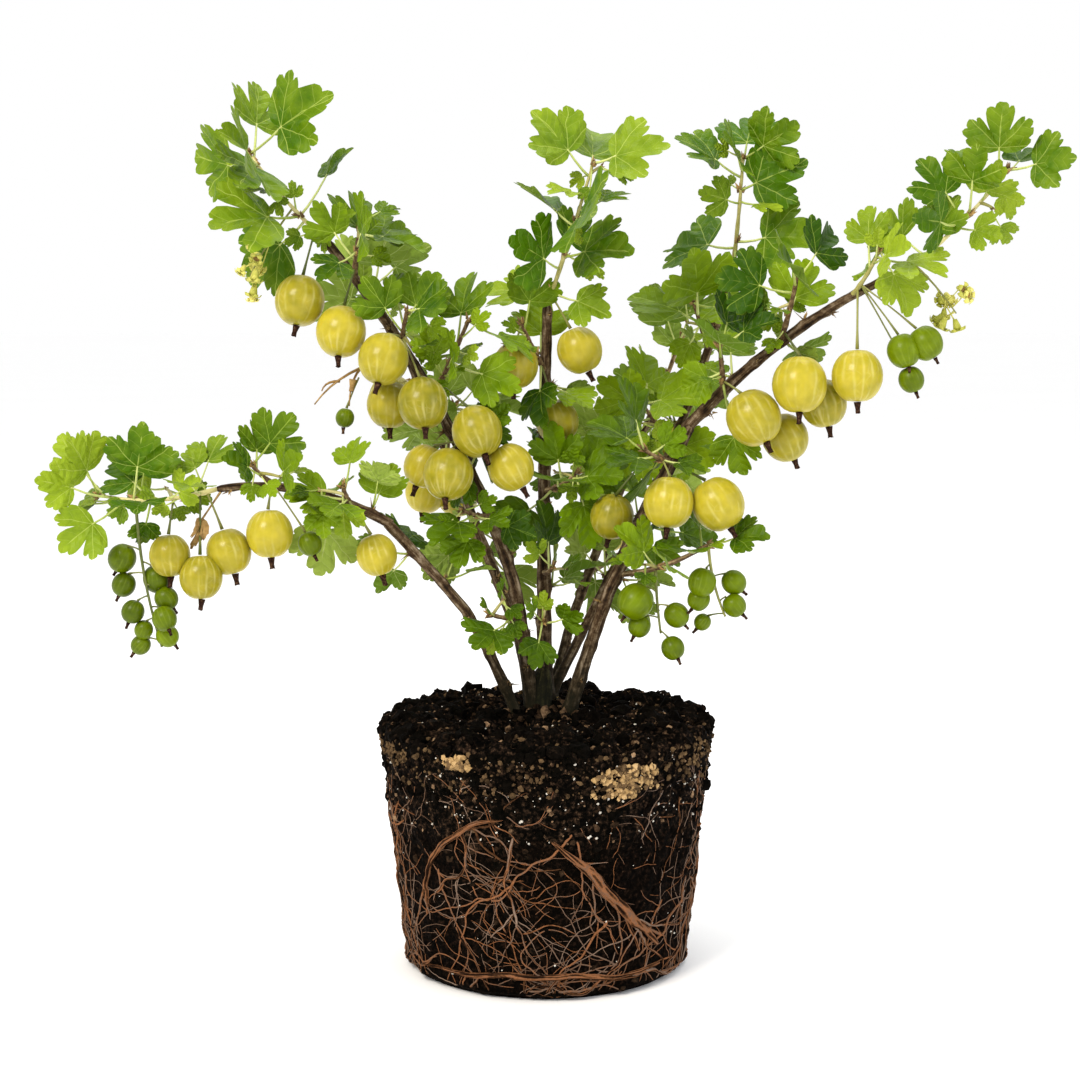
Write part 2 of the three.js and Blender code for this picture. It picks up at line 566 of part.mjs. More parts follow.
// Twigs and fruit come first, and are cut clear of the limbs. Then the leaves find their places
// between them: a leaf that meets a limb, fruit or another mass is turned aside, and is left
// out if it still meets one.
const grown = masses.map((mass) => {
  const { twigs, berries, leaves } = grow(mass);
  const hard = [...twigs.map(twigGeometry), ...berries.flatMap(berryGeometries)].map(boxed);
  return { mass, leaves, hard };
});
for (const own of grown) {
  const box = new THREE.Box3();
  own.hard.forEach((piece) => box.union(piece.box));
  let solid = joined(own.hard.map((piece) => piece.solid));
  for (const limb of keepClear) {
    if (box.intersectsBox(limb.box)) solid = solid.subtract(limb.solid);
  }
  own.body = { solid, box };
}
const angles = leaf.aimTurns.flatMap((aim) => leaf.leanTurns.map((lean) => ({ aim, lean })));
const turns = leaf.sizes.flatMap((size) => angles.map((angle) => ({ size, ...angle })));
for (const own of grown) {
  const others = [...keepClear, ...grown.filter((other) => other !== own).map((other) => other.body)];
  const beside = own.hard.slice(1);
  for (const item of own.leaves) {
    const bladeFrom = item.stalk * leaf.bladeFrom;
    const placed = turns.find((turn) => {
      const whole = boxed(leafGeometry(item, turn, leaf.clearance, 0));
      const blade = boxed(leafGeometry(item, turn, leaf.clearance, bladeFrom));
      return !others.some((other) => touches(whole, other)) && !beside.some((other) => touches(blade, other));
    });
    if (placed) {
      const whole = boxed(leafGeometry(item, placed, 0, 0));
      beside.push(boxed(leafGeometry(item, placed, 0, bladeFrom)));
      own.body = { solid: own.body.solid.add(whole.solid), box: own.body.box.union(whole.box) };
    }
  }
  addPart(`foliage_${own.mass.name}`, own.body.solid, surfaces.foliage);
}

export default bush;
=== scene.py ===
import math

import bmesh
import bpy
import numpy as np
from mathutils import Matrix, Vector, noise
from mathutils.bvhtree import BVHTree
from mathutils.kdtree import KDTree


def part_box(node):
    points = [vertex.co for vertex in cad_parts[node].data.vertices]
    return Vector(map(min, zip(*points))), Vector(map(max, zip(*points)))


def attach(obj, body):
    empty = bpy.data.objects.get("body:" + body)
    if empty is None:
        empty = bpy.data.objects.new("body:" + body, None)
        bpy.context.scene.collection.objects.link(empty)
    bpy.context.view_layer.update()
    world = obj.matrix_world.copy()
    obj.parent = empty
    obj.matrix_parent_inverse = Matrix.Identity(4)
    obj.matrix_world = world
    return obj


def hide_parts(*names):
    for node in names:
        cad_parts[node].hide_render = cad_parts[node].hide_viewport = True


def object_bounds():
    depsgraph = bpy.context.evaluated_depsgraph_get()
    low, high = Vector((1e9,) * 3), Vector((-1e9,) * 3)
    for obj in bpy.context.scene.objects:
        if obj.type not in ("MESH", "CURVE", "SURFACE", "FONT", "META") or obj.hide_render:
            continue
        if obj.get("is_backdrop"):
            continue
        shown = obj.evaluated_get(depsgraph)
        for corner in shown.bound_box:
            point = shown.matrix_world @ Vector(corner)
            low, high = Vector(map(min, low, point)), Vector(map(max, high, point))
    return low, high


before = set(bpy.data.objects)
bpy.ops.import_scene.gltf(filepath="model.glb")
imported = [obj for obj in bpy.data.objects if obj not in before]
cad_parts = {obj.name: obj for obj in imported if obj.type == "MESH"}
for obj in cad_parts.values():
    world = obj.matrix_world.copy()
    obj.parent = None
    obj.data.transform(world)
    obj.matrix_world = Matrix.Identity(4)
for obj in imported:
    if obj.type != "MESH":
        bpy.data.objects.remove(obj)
cadLow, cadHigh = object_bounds()
print("frame loaded")

# Sizes below are in millimetres, as in the part's source; this turns them to metres.
mm = 0.001

camera = {"place": (-3, -1100, 344), "pitch": 6, "lens": 69.18, "sensor": 36}

# The limbs, by the source's names and sizes.
rootBall = {"topRadius": 89, "bottomRadius": 76, "height": 132, "seatRadius": 24, "gap": 0.3}
trunk = {"foot": (-2, 0), "lean": (2, 3), "height": 33, "radius": 9.5}
boughs = {
    "centre": dict(foot=(-0.5, 3, 154), tip=(1, 10, 353), bow=(-1, 9, 0), radius=(5, 3)),
    "left_high": dict(foot=(-2, 0, 149), tip=(-117, 0, 388), bow=(15, -12, 8), radius=(4.8, 2.8)),
    "right_back": dict(foot=(1, 3, 150), tip=(104, 56, 377), bow=(11, 20, -4), radius=(4, 2.6)),
    "right": dict(foot=(2, -3, 139), tip=(75, -18, 291), bow=(-1, -7, -3), radius=(5, 4)),
    "right_arm": dict(foot=(75, -18, 291), tip=(181, -40, 369), bow=(0, 0, 9), radius=(3.7, 2.3)),
    "left_low": dict(foot=(-3, -1, 142), tip=(-83, -28, 241), bow=(-4, -2, 7), radius=(3.7, 3.2)),
    "left_low_arm": dict(foot=(-83, -28, 241), tip=(-168, -42, 259), bow=(0, -3, 8), radius=(3.1, 2.2)),
    "back_left": dict(foot=(-3, 3, 147), tip=(-82, 104, 330), bow=(4, 10, -10), radius=(4, 2.5)),
    "back_right": dict(foot=(1, 4, 144), tip=(66, 108, 300), bow=(-4, 12, -6), radius=(3.8, 2.5)),
}

# The masses of foliage, by the source's names and sizes. "side" is the side a mass faces.
twig = {"bend": 4, "sag": 0.06, "collar": 3}
leaf = {
    "blade": 31, "stalk": 16, "spacing": 3.5,
    "halfOutline": ((0, 1), (27, 0.74), (50, 0.92), (79, 0.6), (106, 0.66), (152, 0.24)),
    "droop": 0.2, "cup": 0.1, "face": 0.6, "lean": (10, 40),
    "aimSpread": 9, "rollSpread": 32, "sizeSpread": 0.16, "stalkSpread": 0.25,
    "sizes": (1, 0.8), "aimTurns": (0, 15, -15, 30, -30), "leanTurns": (0, 20, -20, 40, -40, 60, -60),
}
strig = {"bow": 0.2, "last": 0.96, "above": 0.06, "aside": 0.56, "outwards": 0.36, "below": 0.4, "sizeSpread": 0.1}
blossom = {"aside": 7, "outwards": 5, "first": 8, "step": 7}
masses = [
    dict(name="left_low_tip", bough="left_low_arm", at=1, reach=(-60, -2, -3), seed=11,
      sprays=[
        dict(at=1, leaves=5, fan=(105, 225), blade=27, stalk=22, lean=8),
        dict(at=0.7, leaves=4, fan=(70, 140), blade=29, lean=10),
        dict(at=0.55, leaves=1, fan=(262, 262), blade=20, lean=-10),
        dict(at=0.25, leaves=4, fan=(50, 125), blade=22, stalk=20),
      ],
      fruit=[
        dict(at=0.36, drop=(-2, -3, -29), size=21),
        dict(at=0.14, drop=(1, -8, -42), size=22),
        dict(at=0.05, drop=(9, -3, -31), size=23),
      ],
      strigs=[dict(at=0.68, drop=(14, -4, -80), berries=9, size=14, first=0.38)]),
    dict(name="left_low_mid", bough="left_low_arm", at=0.62, reach=(-14, -6, 12), seed=23,
      sprays=[dict(at=1, leaves=4, fan=(50, 185), blade=23, stalk=14)],
      fruit=[dict(at=0, drop=(-5, -9, -23), size=24), dict(at=0, drop=(14, -6, -26), size=14)]),
    dict(name="left_low_inner", bough="left_low_arm", at=0.2, reach=(-4, -8, 11), seed=31,
      sprays=[dict(at=1, leaves=5, fan=(30, 215), blade=22, stalk=16)],
      fruit=[dict(at=0, drop=(13, -6, -25), size=21)]),
    dict(name="left_high_tip", bough="left_high", at=1, reach=(-37, -6, 43), seed=43,
      sprays=[
        dict(at=1, leaves=4, fan=(34, 172), blade=33, stalk=21),
        dict(at=0.9, leaves=1, fan=(70, 70), blade=33, stalk=12, lean=30),
        dict(at=0.3, leaves=2, fan=(188, 214), blade=32, stalk=20),
        dict(at=0.3, leaves=1, fan=(62, 62), blade=27, stalk=22, lean=-30),
      ],
      fruit=[dict(at=0, drop=(-11, -13, -33), size=26)],
      blossom=[dict(at=0.4, drop=(-19, -6, -30), flowers=4)]),
    dict(name="left_high_upper", bough="left_high", at=0.9, reach=(3, -6, 23), seed=57,
      sprays=[
        dict(at=1, leaves=5, fan=(-10, 118), blade=28, stalk=16),
        dict(at=0.6, leaves=1, fan=(215, 215), blade=25, lean=30),
      ],
      fruit=[dict(at=0, drop=(-6, -15, -28), size=26)]),
    dict(name="left_high_side", bough="left_high", at=0.74, reach=(4, -14, 18), seed=61,
      sprays=[dict(at=1, leaves=6, fan=(0, 175), blade=24, stalk=14, lean=20)],
      fruit=[
        dict(at=0, drop=(-8, -20, -7), size=26),
        dict(at=0.1, drop=(12, -22, -31), size=26),
        dict(at=0, drop=(-6, -5, -31), size=24),
      ]),
    dict(name="left_high_right", bough="left_high", at=0.62, reach=(19, -6, 40), seed=71,
      sprays=[
        dict(at=1, leaves=6, fan=(-25, 118), blade=29, stalk=16),
        dict(at=0.5, leaves=4, fan=(-20, 100), blade=26, lean=25),
      ],
      fruit=[dict(at=0.2, drop=(20, -18, -24), size=26)]),
    dict(name="left_high_low", bough="left_high", at=0.54, reach=(14, -10, -8), seed=83,
      sprays=[dict(at=1, leaves=5, fan=(-110, 25), blade=26, stalk=15, lean=15)],
      fruit=[
        dict(at=0, drop=(-1, -22, -20), size=26),
        dict(at=0, drop=(-14, -6, -17), size=22),
        dict(at=1, drop=(17, -4, -9), size=24),
      ]),
    dict(name="left_inner", bough="left_high", at=0.36, reach=(-14, -9, 4), seed=97,
      sprays=[
        dict(at=1, leaves=5, fan=(105, 255), blade=25, stalk=15, lean=10),
        dict(at=0.3, leaves=3, fan=(-20, 60), blade=25, lean=-20),
      ]),
    dict(name="left_foot", bough="left_high", at=0.15, reach=(-18, -10, 2), seed=101,
      sprays=[dict(at=1, leaves=6, fan=(50, 232), blade=25, stalk=16, lean=10)]),
    dict(name="centre_top", bough="centre", at=1, reach=(24, -4, 74), seed=113,
      sprays=[
        dict(at=1, leaves=3, fan=(25, 135), blade=33, stalk=15),
        dict(at=0.62, leaves=2, fan=(18, 145), blade=34, stalk=16),
        dict(at=0.36, leaves=3, fan=(10, 125), blade=28, lean=25),
        dict(at=0.1, leaves=2, fan=(-15, 165), blade=26, lean=-10),
      ],
      fruit=[dict(at=0, drop=(17, -4, -24), size=24)]),
    dict(name="centre_upper", bough="centre", at=0.82, reach=(-13, -10, 26), seed=127,
      sprays=[
        dict(at=1, leaves=4, fan=(20, 180), blade=30, stalk=14),
        dict(at=0.4, leaves=3, fan=(185, 260), blade=27, lean=10),
      ],
      fruit=[dict(at=1, drop=(-3, -2, -22), size=24), dict(at=0, drop=(6, -6, -26), size=23)]),
    dict(name="centre_mid", bough="centre", at=0.5, reach=(17, -15, 10), seed=131,
      sprays=[
        dict(at=1, leaves=5, fan=(-70, 125), blade=33, stalk=14),
        dict(at=0.2, leaves=2, fan=(175, 225), blade=28, lean=-10),
      ]),
    dict(name="centre_low", bough="centre", at=0.28, reach=(5, -15, 5), seed=149,
      sprays=[dict(at=1, leaves=5, fan=(25, 190), blade=33, stalk=13, lean=10)]),
    dict(name="centre_foot", bough="centre", at=0.15, reach=(-1, -16, 2), seed=151,
      sprays=[
        dict(at=1, leaves=1, fan=(262, 262), blade=21, stalk=12),
        dict(at=0.8, leaves=2, fan=(20, 160), blade=21, stalk=13),
      ]),
    dict(name="right_back_top", bough="right_back", at=1, reach=(4, -6, 56), seed=163,
      sprays=[
        dict(at=1, leaves=4, fan=(38, 148), blade=31, stalk=15),
        dict(at=0.7, leaves=1, fan=(20, 20), blade=34, stalk=12, lean=5),
        dict(at=0.2, leaves=2, fan=(15, 165), blade=30),
      ]),
    dict(name="right_back_upper", bough="right_back", at=0.8, reach=(-9, -12, 25), seed=173,
      sprays=[dict(at=1, leaves=5, fan=(-15, 212), blade=34, stalk=16)]),
    dict(name="right_back_mid", bough="right_back", at=0.58, reach=(-19, -16, 22), seed=181,
      sprays=[
        dict(at=1, leaves=5, fan=(15, 235), blade=34, stalk=14),
        dict(at=0.4, leaves=2, fan=(-35, 40), blade=30, lean=10),
      ]),
    dict(name="right_back_low", bough="right_back", at=0.32, reach=(14, 12, 12), seed=193,
      sprays=[dict(at=1, leaves=5, fan=(-20, 150), blade=31, lean=-20)]),
    dict(name="right_stem_top", bough="right", at=0.88, reach=(-15, -10, 7), seed=199,
      sprays=[
        dict(at=1, leaves=5, fan=(110, 270), blade=30, stalk=14),
        dict(at=0, leaves=1, fan=(-35, -35), blade=25, lean=-25),
      ],
      fruit=[
        dict(at=0.05, drop=(-2, -17, -20), size=26),
        dict(at=0, drop=(23, -15, -21), size=27),
        dict(at=0.8, drop=(-19, 14, -34), size=23),
      ]),
    dict(name="right_stem_low", bough="right", at=0.5, reach=(47, -10, 17), seed=211,
      sprays=[
        dict(at=1, leaves=3, fan=(22, 165), blade=23, stalk=16),
        dict(at=0.5, leaves=2, fan=(60, 120), blade=23),
      ],
      strigs=[
        dict(at=0.42, drop=(3, -4, -36), berries=4, size=16, first=0.4),
        dict(at=1, drop=(10, -2, -40), berries=5, size=14, first=0.32),
      ]),
    dict(name="right_arm_inner", bough="right_arm", at=0.16, reach=(-3, -10, 24), seed=223,
      sprays=[
        dict(at=1, leaves=4, fan=(25, 155), blade=29),
        dict(at=0, leaves=1, fan=(-70, -70), blade=30, lean=-30, stalk=26),
      ],
      fruit=[dict(at=0, drop=(14, -20, -13), size=28), dict(at=0, drop=(32, -4, -24), size=24)]),
    dict(name="right_arm_mid", bough="right_arm", at=0.43, reach=(8, -6, 36), seed=227,
      sprays=[
        dict(at=1, leaves=4, fan=(-8, 160), blade=29, stalk=17),
        dict(at=0.4, leaves=2, fan=(-25, 60), blade=25, lean=-20),
      ],
      fruit=[dict(at=0, drop=(8, -18, -21), size=28), dict(at=0, drop=(22, -5, -31), size=24)]),
    dict(name="right_arm_outer", bough="right_arm", at=0.76, reach=(13, -8, 23), seed=233,
      sprays=[dict(at=1, leaves=5, fan=(-60, 150), blade=27, stalk=16)],
      fruit=[
        dict(at=0, drop=(2, -12, -40), size=26),
        dict(at=0.3, drop=(17, -10, -31), size=17),
        dict(at=0.3, drop=(35, -8, -31), size=17),
        dict(at=0.3, drop=(27, -6, -47), size=15),
      ]),
    dict(name="right_tip", bough="right_arm", at=1, reach=(51, -4, 51), seed=239,
      sprays=[
        dict(at=1, leaves=4, fan=(5, 128), blade=27, stalk=18),
        dict(at=0.62, leaves=3, fan=(95, 172), blade=29, stalk=18),
        dict(at=0.25, leaves=2, fan=(60, 130), blade=25, lean=10),
      ],
      blossom=[dict(at=0.1, drop=(20, -4, -20), flowers=4)]),
    dict(name="back_left_tip", bough="back_left", at=1, reach=(-20, 14, 34), seed=251, side="back",
      sprays=[
        dict(at=1, leaves=4, fan=(40, 165), blade=33, stalk=18),
        dict(at=0.4, leaves=3, fan=(10, 200), blade=30),
      ],
      fruit=[dict(at=0, drop=(-8, 10, -30), size=26)]),
    dict(name="back_left_mid", bough="back_left", at=0.72, reach=(4, 22, 26), seed=257, side="back",
      sprays=[
        dict(at=1, leaves=5, fan=(-10, 190), blade=31),
        dict(at=0.4, leaves=2, fan=(200, 250), blade=28),
      ],
      fruit=[dict(at=0, drop=(6, 14, -26), size=25), dict(at=0, drop=(-12, 8, -24), size=24)]),
    dict(name="back_left_low", bough="back_left", at=0.45, reach=(-16, 18, 12), seed=263, side="back",
      sprays=[dict(at=1, leaves=5, fan=(30, 215), blade=30)]),
    dict(name="back_right_tip", bough="back_right", at=1, reach=(14, 14, 36), seed=269, side="back",
      sprays=[
        dict(at=1, leaves=4, fan=(25, 145), blade=33, stalk=18),
        dict(at=0.4, leaves=3, fan=(-20, 180), blade=30),
      ],
      fruit=[dict(at=0, drop=(8, 10, -30), size=26)]),
    dict(name="back_right_mid", bough="back_right", at=0.7, reach=(-12, 20, 26), seed=271, side="back",
      sprays=[dict(at=1, leaves=6, fan=(-20, 200), blade=31)],
      fruit=[dict(at=0, drop=(-6, 14, -24), size=25)]),
    dict(name="back_right_low", bough="back_right", at=0.42, reach=(16, 16, 8), seed=277, side="back",
      sprays=[dict(at=1, leaves=5, fan=(-35, 120), blade=30)]),
]


def hexColour(text):  # sRGB hex to the linear values that a socket holds
    channels = [int(text[i:i + 2], 16) / 255 for i in (1, 3, 5)]
    return (*[c / 12.92 if c <= 0.04045 else ((c + 0.055) / 1.055) ** 2.4 for c in channels], 1)


def mix(a, b, t):
    return a + (b - a) * t


def seeded(seed):  # the source's numbers from 0 to 1, the same on every run
    state = seed * 7919 + 17

    def draw():
        nonlocal state
        state = state * 16807 % 2147483647
        return state / 2147483647
    return draw


fullTurn = 6.28  # once round in radians, near enough for a random turn


def toss(draw, *sizes):  # a random shift within a box of these sizes; a size of 0 takes no number
    return array([(draw() - 0.5) * size if size else 0 for size in sizes])


def eitherWay(draw):  # a function that gives a random amount either way
    return lambda amount: (draw() * 2 - 1) * amount


def array(values):
    return np.array(values, float)


def unit(v):
    return v / np.linalg.norm(v)


def spun(v, axis, angle):  # v turned about an axis of length 1
    c, s = math.cos(angle), math.sin(angle)
    return v * c + np.cross(axis, v) * s + axis * (axis @ v) * (1 - c)


def polar(angle, distance=1):  # a place in a leaf's outline: the angle is from its middle vein, in degrees
    return math.sin(math.radians(angle)) * distance, math.cos(math.radians(angle)) * distance


def bezier(a, b, c, t):
    return a * (1 - t) ** 2 + b * (2 * t * (1 - t)) + c * t ** 2


def bowed(start, end, bow):  # a curve from one point to another that bows aside at its middle
    middle = (start + end) / 2 + 2 * bow
    return lambda t: bezier(start, middle, end, t)


def boughCurve(row):
    return bowed(array(row["foot"]), array(row["tip"]), array(row["bow"]))


# A pile takes copies of small shapes and becomes one piece, because a bush has hundreds of each.
def newPile():
    return {"points": [], "corners": [], "sizes": [], "uvs": [], "tones": [], "materials": [], "rims": [], "count": 0}


def addShape(pile, shape, points, tone=0.5, material=0):
    pile["points"].append(points)
    pile["corners"].append(shape["corners"] + pile["count"])
    pile["sizes"].append(shape["sizes"])
    pile["uvs"].append(shape["uvs"])
    pile["tones"].append(np.zeros(len(points)) + tone)
    pile["materials"].append(shape.get("materials", np.zeros(len(shape["sizes"]), int)) + material)
    pile["rims"].append(shape.get("rim", np.zeros(len(points), bool)))
    pile["count"] += len(points)


def turnedTo(across, along, upper, place, size=1.0):  # the 4 x 4 matrix that sets a shape down along these directions
    matrix = np.eye(4)
    matrix[:3, :3], matrix[:3, 3] = np.stack((across, along, upper), 1) * size, place
    return matrix


def pointing(way, place, turn, size=1.0):  # the same for a shape whose length is Z; a size may differ in X, Y and Z
    side = np.cross(way, (0, 1, 0) if abs(way[1]) < 0.9 else (1, 0, 0))
    side = spun(unit(side), way, turn)
    return turnedTo(side, np.cross(way, side), way, place, size)


def addCopy(pile, shape, matrix, tone, material=0):
    addShape(pile, shape, shape["points"] @ matrix[:3, :3].T + matrix[:3, 3], tone, material)


def finishPiece(mesh, materials, nodes=()):  # a mesh becomes a piece with its own name
    for material in materials:
        mesh.materials.append(material)
    obj = bpy.data.objects.new(mesh.name, mesh)
    bpy.context.scene.collection.objects.link(obj)
    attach(obj, "root")
    if nodes:
        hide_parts(*nodes)
    print(obj.name, len(mesh.polygons), "faces")


def pilePiece(name, pile, materials, nodes=(), smooth=True):
    corners, sizes = np.concatenate(pile["corners"]), np.concatenate(pile["sizes"])
    mesh = bpy.data.meshes.new(name)
    mesh.vertices.add(pile["count"])
    mesh.vertices.foreach_set("co", (np.concatenate(pile["points"]) * mm).ravel())
    mesh.loops.add(len(corners))
    mesh.loops.foreach_set("vertex_index", corners)
    mesh.polygons.add(len(sizes))
    mesh.polygons.foreach_set("loop_start", np.concatenate(([0], np.cumsum(sizes)[:-1])))
    mesh.update(calc_edges=True)
    mesh.polygons.foreach_set("material_index", np.concatenate(pile["materials"]))
    mesh.polygons.foreach_set("use_smooth", np.full(len(sizes), smooth))
    mesh.uv_layers.new(name="pattern").data.foreach_set("uv", np.concatenate(pile["uvs"]).ravel())
    mesh.attributes.new("tone", "FLOAT", "POINT").data.foreach_set("value", np.concatenate(pile["tones"]))
    rim = np.concatenate(pile["rims"])
    if rim.any():  # the edge of a blade is sharp, so that its two sides shade apart
        ends = np.empty(len(mesh.edges) * 2, int)
        mesh.edges.foreach_get("vertices", ends)
        sharp = rim[ends.reshape(-1, 2)].all(1)
        mesh.attributes.new("sharp_edge", "BOOLEAN", "EDGE").data.foreach_set("value", sharp)
    finishPiece(mesh, materials, nodes)


def meshOf(bm, name):
    mesh = bpy.data.meshes.new(name)
    bm.to_mesh(mesh)
    bm.free()
    return mesh


def shapeOf(bm):  # a shape for piles from a bmesh, with its UV map and material numbers
    bm.verts.index_update()
    layer = bm.loops.layers.uv.active
    faces = list(bm.faces)
    shape = {
        "points": np.array([v.co for v in bm.verts]),
        "corners": np.array([loop.vert.index for face in faces for loop in face.loops]),
        "sizes": np.array([len(face.verts) for face in faces]),
        "uvs": np.array([loop[layer].uv if layer else (0, 0) for face in faces for loop in face.loops]),
        "materials": np.array([face.material_index for face in faces]),
    }
    bm.free()
    return shape


def lengthwise(bm):  # the edges that run along Z
    return [edge for edge in bm.edges if abs(edge.verts[0].co.z - edge.verts[1].co.z) > abs(edge.calc_length()) * 0.5]


def framesAlong(path, start=(0, 1, 0)):  # two directions across a path, turned as little as possible from point to point
    tangents = np.gradient(path, axis=0)
    tangents /= np.linalg.norm(tangents, axis=1)[:, None]
    side = np.cross(tangents[0], start)
    made = []
    for tangent in tangents:
        side = unit(side - tangent * (tangent @ side))
        made.append((side, np.cross(tangent, side)))
    return made


tubeShapes = {}


def tubeShape(stations, sides):  # the faces of a tube, kept for reuse: its points come from tubePoints
    key = (stations, sides)
    if key not in tubeShapes:
        ring = np.arange(sides)
        after = (ring + 1) % sides
        left, right = ring / sides, (ring + 1) / sides
        corners, uvs = [], []
        for i in range(stations - 1):
            below, above = i * sides, (i + 1) * sides
            corners.append(np.stack([below + ring, below + after, above + after, above + ring], 1))
            low, high = np.full(sides, i / (stations - 1)), np.full(sides, (i + 1) / (stations - 1))
            uvs.append(np.stack([left, low, right, low, right, high, left, high], 1))
        caps = np.concatenate((ring[::-1], (stations - 1) * sides + ring))
        tubeShapes[key] = {
            "corners": np.concatenate((np.concatenate(corners).ravel(), caps)),
            "sizes": np.array([4] * sides * (stations - 1) + [sides] * 2),
            "uvs": np.concatenate((np.concatenate(uvs).reshape(-1, 2), np.zeros((2 * sides, 2)))),
        }
    return tubeShapes[key]


def tubePoints(path, radii, sides):  # rings round a path
    path = np.asarray(path, float)
    steep = abs(unit(path[1] - path[0])[2]) >= 0.9
    angles = np.arange(sides) / sides * math.tau
    cosines, sines = np.cos(angles)[:, None], np.sin(angles)[:, None]
    across = framesAlong(path, (1, 0, 0) if steep else (0, 0, 1))
    return np.concatenate([point + radius * (cosines * side + sines * other)
                           for point, radius, (side, other) in zip(path, radii, across)])


def addTube(pile, path, radii, sides, tone=0.5):
    addShape(pile, tubeShape(len(path), sides), tubePoints(path, radii, sides), tone)


def newMaterial(name):
    material = bpy.data.materials.new(name)
    material.use_nodes = True
    material.node_tree.nodes.clear()
    return material


def addNode(material, kind, inputs=(), out=0, **settings):  # adds a node with its settings and links, and gives an output
    node = material.node_tree.nodes.new("ShaderNode" + kind)
    for key, value in settings.items():
        if key == "stops":  # colours along a ramp
            elements = node.color_ramp.elements
            while len(elements) < len(value):
                elements.new(0.5)
            for element, (position, text) in zip(elements, value):
                element.position, element.color = position, hexColour(text)
        else:
            setattr(node, key, value)
    for key, value in inputs.items() if isinstance(inputs, dict) else enumerate(inputs):
        if isinstance(value, bpy.types.NodeSocket):
            material.node_tree.links.new(value, node.inputs[key])
        else:
            node.inputs[key].default_value = value
    return node.outputs[out] if node.outputs else node


# A gooseberry leaf: thin, soft, a little glossy above, paler and duller below. Its pattern is in
# blade lengths from the top of the stalk: five main veins, with side veins leaving each of them.
leafVeins = {"rays": (0, 48, 86), "width": 0.0115, "sideWidth": 0.042, "sideSlope": 0.8, "sidePerBlade": 4.6,
             "bump": 0.55, "blotch": 9, "net": 2.6, "sway": 0.3}


def leafMaterial(name, low, high, vein, veinShow, roughness, specular):
    m = newMaterial(name)
    uv = addNode(m, "UVMap", uv_map="pattern")
    across = addNode(m, "Math", (addNode(m, "SeparateXYZ", (uv,)),), operation="ABSOLUTE")
    along = addNode(m, "SeparateXYZ", (uv,), "Y")
    angle = addNode(m, "Math", (across, along), operation="ARCTAN2")
    radius = addNode(m, "VectorMath", (uv,), "Value", operation="LENGTH")
    place = addNode(m, "TexCoord", out="Object")
    sway = addNode(m, "TexNoise", {"Vector": place, "Scale": 1 / (12 * mm), "Detail": 1.0})
    angle = addNode(m, "Math", (sway, leafVeins["sway"], angle), operation="MULTIPLY_ADD")  # veins aren't quite straight
    offsets = []  # the angle from each main vein
    for ray in leafVeins["rays"]:
        turned = addNode(m, "Math", (angle, math.radians(ray) + leafVeins["sway"] / 2), operation="SUBTRACT")
        offsets.append(addNode(m, "Math", (turned,), operation="ABSOLUTE"))
    nearest = addNode(m, "Math", (offsets[0], offsets[1]), operation="MINIMUM")
    nearest = addNode(m, "Math", (nearest, offsets[2]), operation="MINIMUM")
    beside = addNode(m, "Math", (radius, addNode(m, "Math", (nearest,), operation="SINE")), operation="MULTIPLY")
    outwards = addNode(m, "Math", (radius, addNode(m, "Math", (nearest,), operation="COSINE")), operation="MULTIPLY")
    width = leafVeins["width"]
    main = addNode(m, "MapRange", (beside, width, width * 0.3, 0.0, 1.0), interpolation_type="SMOOTHSTEP")
    slanted = addNode(m, "Math", (beside, -leafVeins["sideSlope"], outwards), operation="MULTIPLY_ADD")
    phase = addNode(m, "Math", (slanted, leafVeins["sidePerBlade"]), operation="MULTIPLY")
    phase = addNode(m, "Math", (phase, 0.5), operation="PINGPONG")
    sides = addNode(m, "MapRange", (phase, leafVeins["sideWidth"], 0.0, 0.0, 0.5), interpolation_type="SMOOTHSTEP")
    veins = addNode(m, "Math", (main, sides), operation="MAXIMUM")
    blotch = addNode(m, "TexNoise", {"Vector": place, "Scale": 1 / (leafVeins["blotch"] * mm), "Detail": 2.0})
    tone = addNode(m, "Attribute", out="Fac", attribute_name="tone")
    shade = addNode(m, "Math", (blotch, 0.4, addNode(m, "Math", (tone, 0.55), operation="MULTIPLY")), operation="MULTIPLY_ADD")
    shade = addNode(m, "Math", (radius, 0.14, shade), operation="MULTIPLY_ADD")  # paler towards its rim: partly the leaf's own paler margin, partly painted light and shade standing for a cupped blade, lit at its edges and darker in its middle
    green = addNode(m, "ValToRGB", (shade,), stops=[(0.34, low), (0.82, high)])
    show = addNode(m, "Math", (veins, veinShow), operation="MULTIPLY")
    colour = addNode(m, "Mix", {0: show, 6: green, 7: hexColour(vein)}, 2, data_type="RGBA")
    net = addNode(m, "TexNoise", {"Vector": place, "Scale": 1 / (leafVeins["net"] * mm), "Detail": 2.0})
    sunk = addNode(m, "Math", (veins, -0.2, net), operation="MULTIPLY_ADD")
    pucker = addNode(m, "Math", (phase, 1.3, sunk), operation="MULTIPLY_ADD")
    bump = addNode(m, "Bump", {"Height": pucker, "Distance": leafVeins["bump"] * mm})
    shader = addNode(m, "BsdfPrincipled", {"Base Color": colour, "Roughness": roughness, "Specular IOR Level": specular,
                                           "Normal": bump})
    addNode(m, "OutputMaterial", (shader,))
    return m


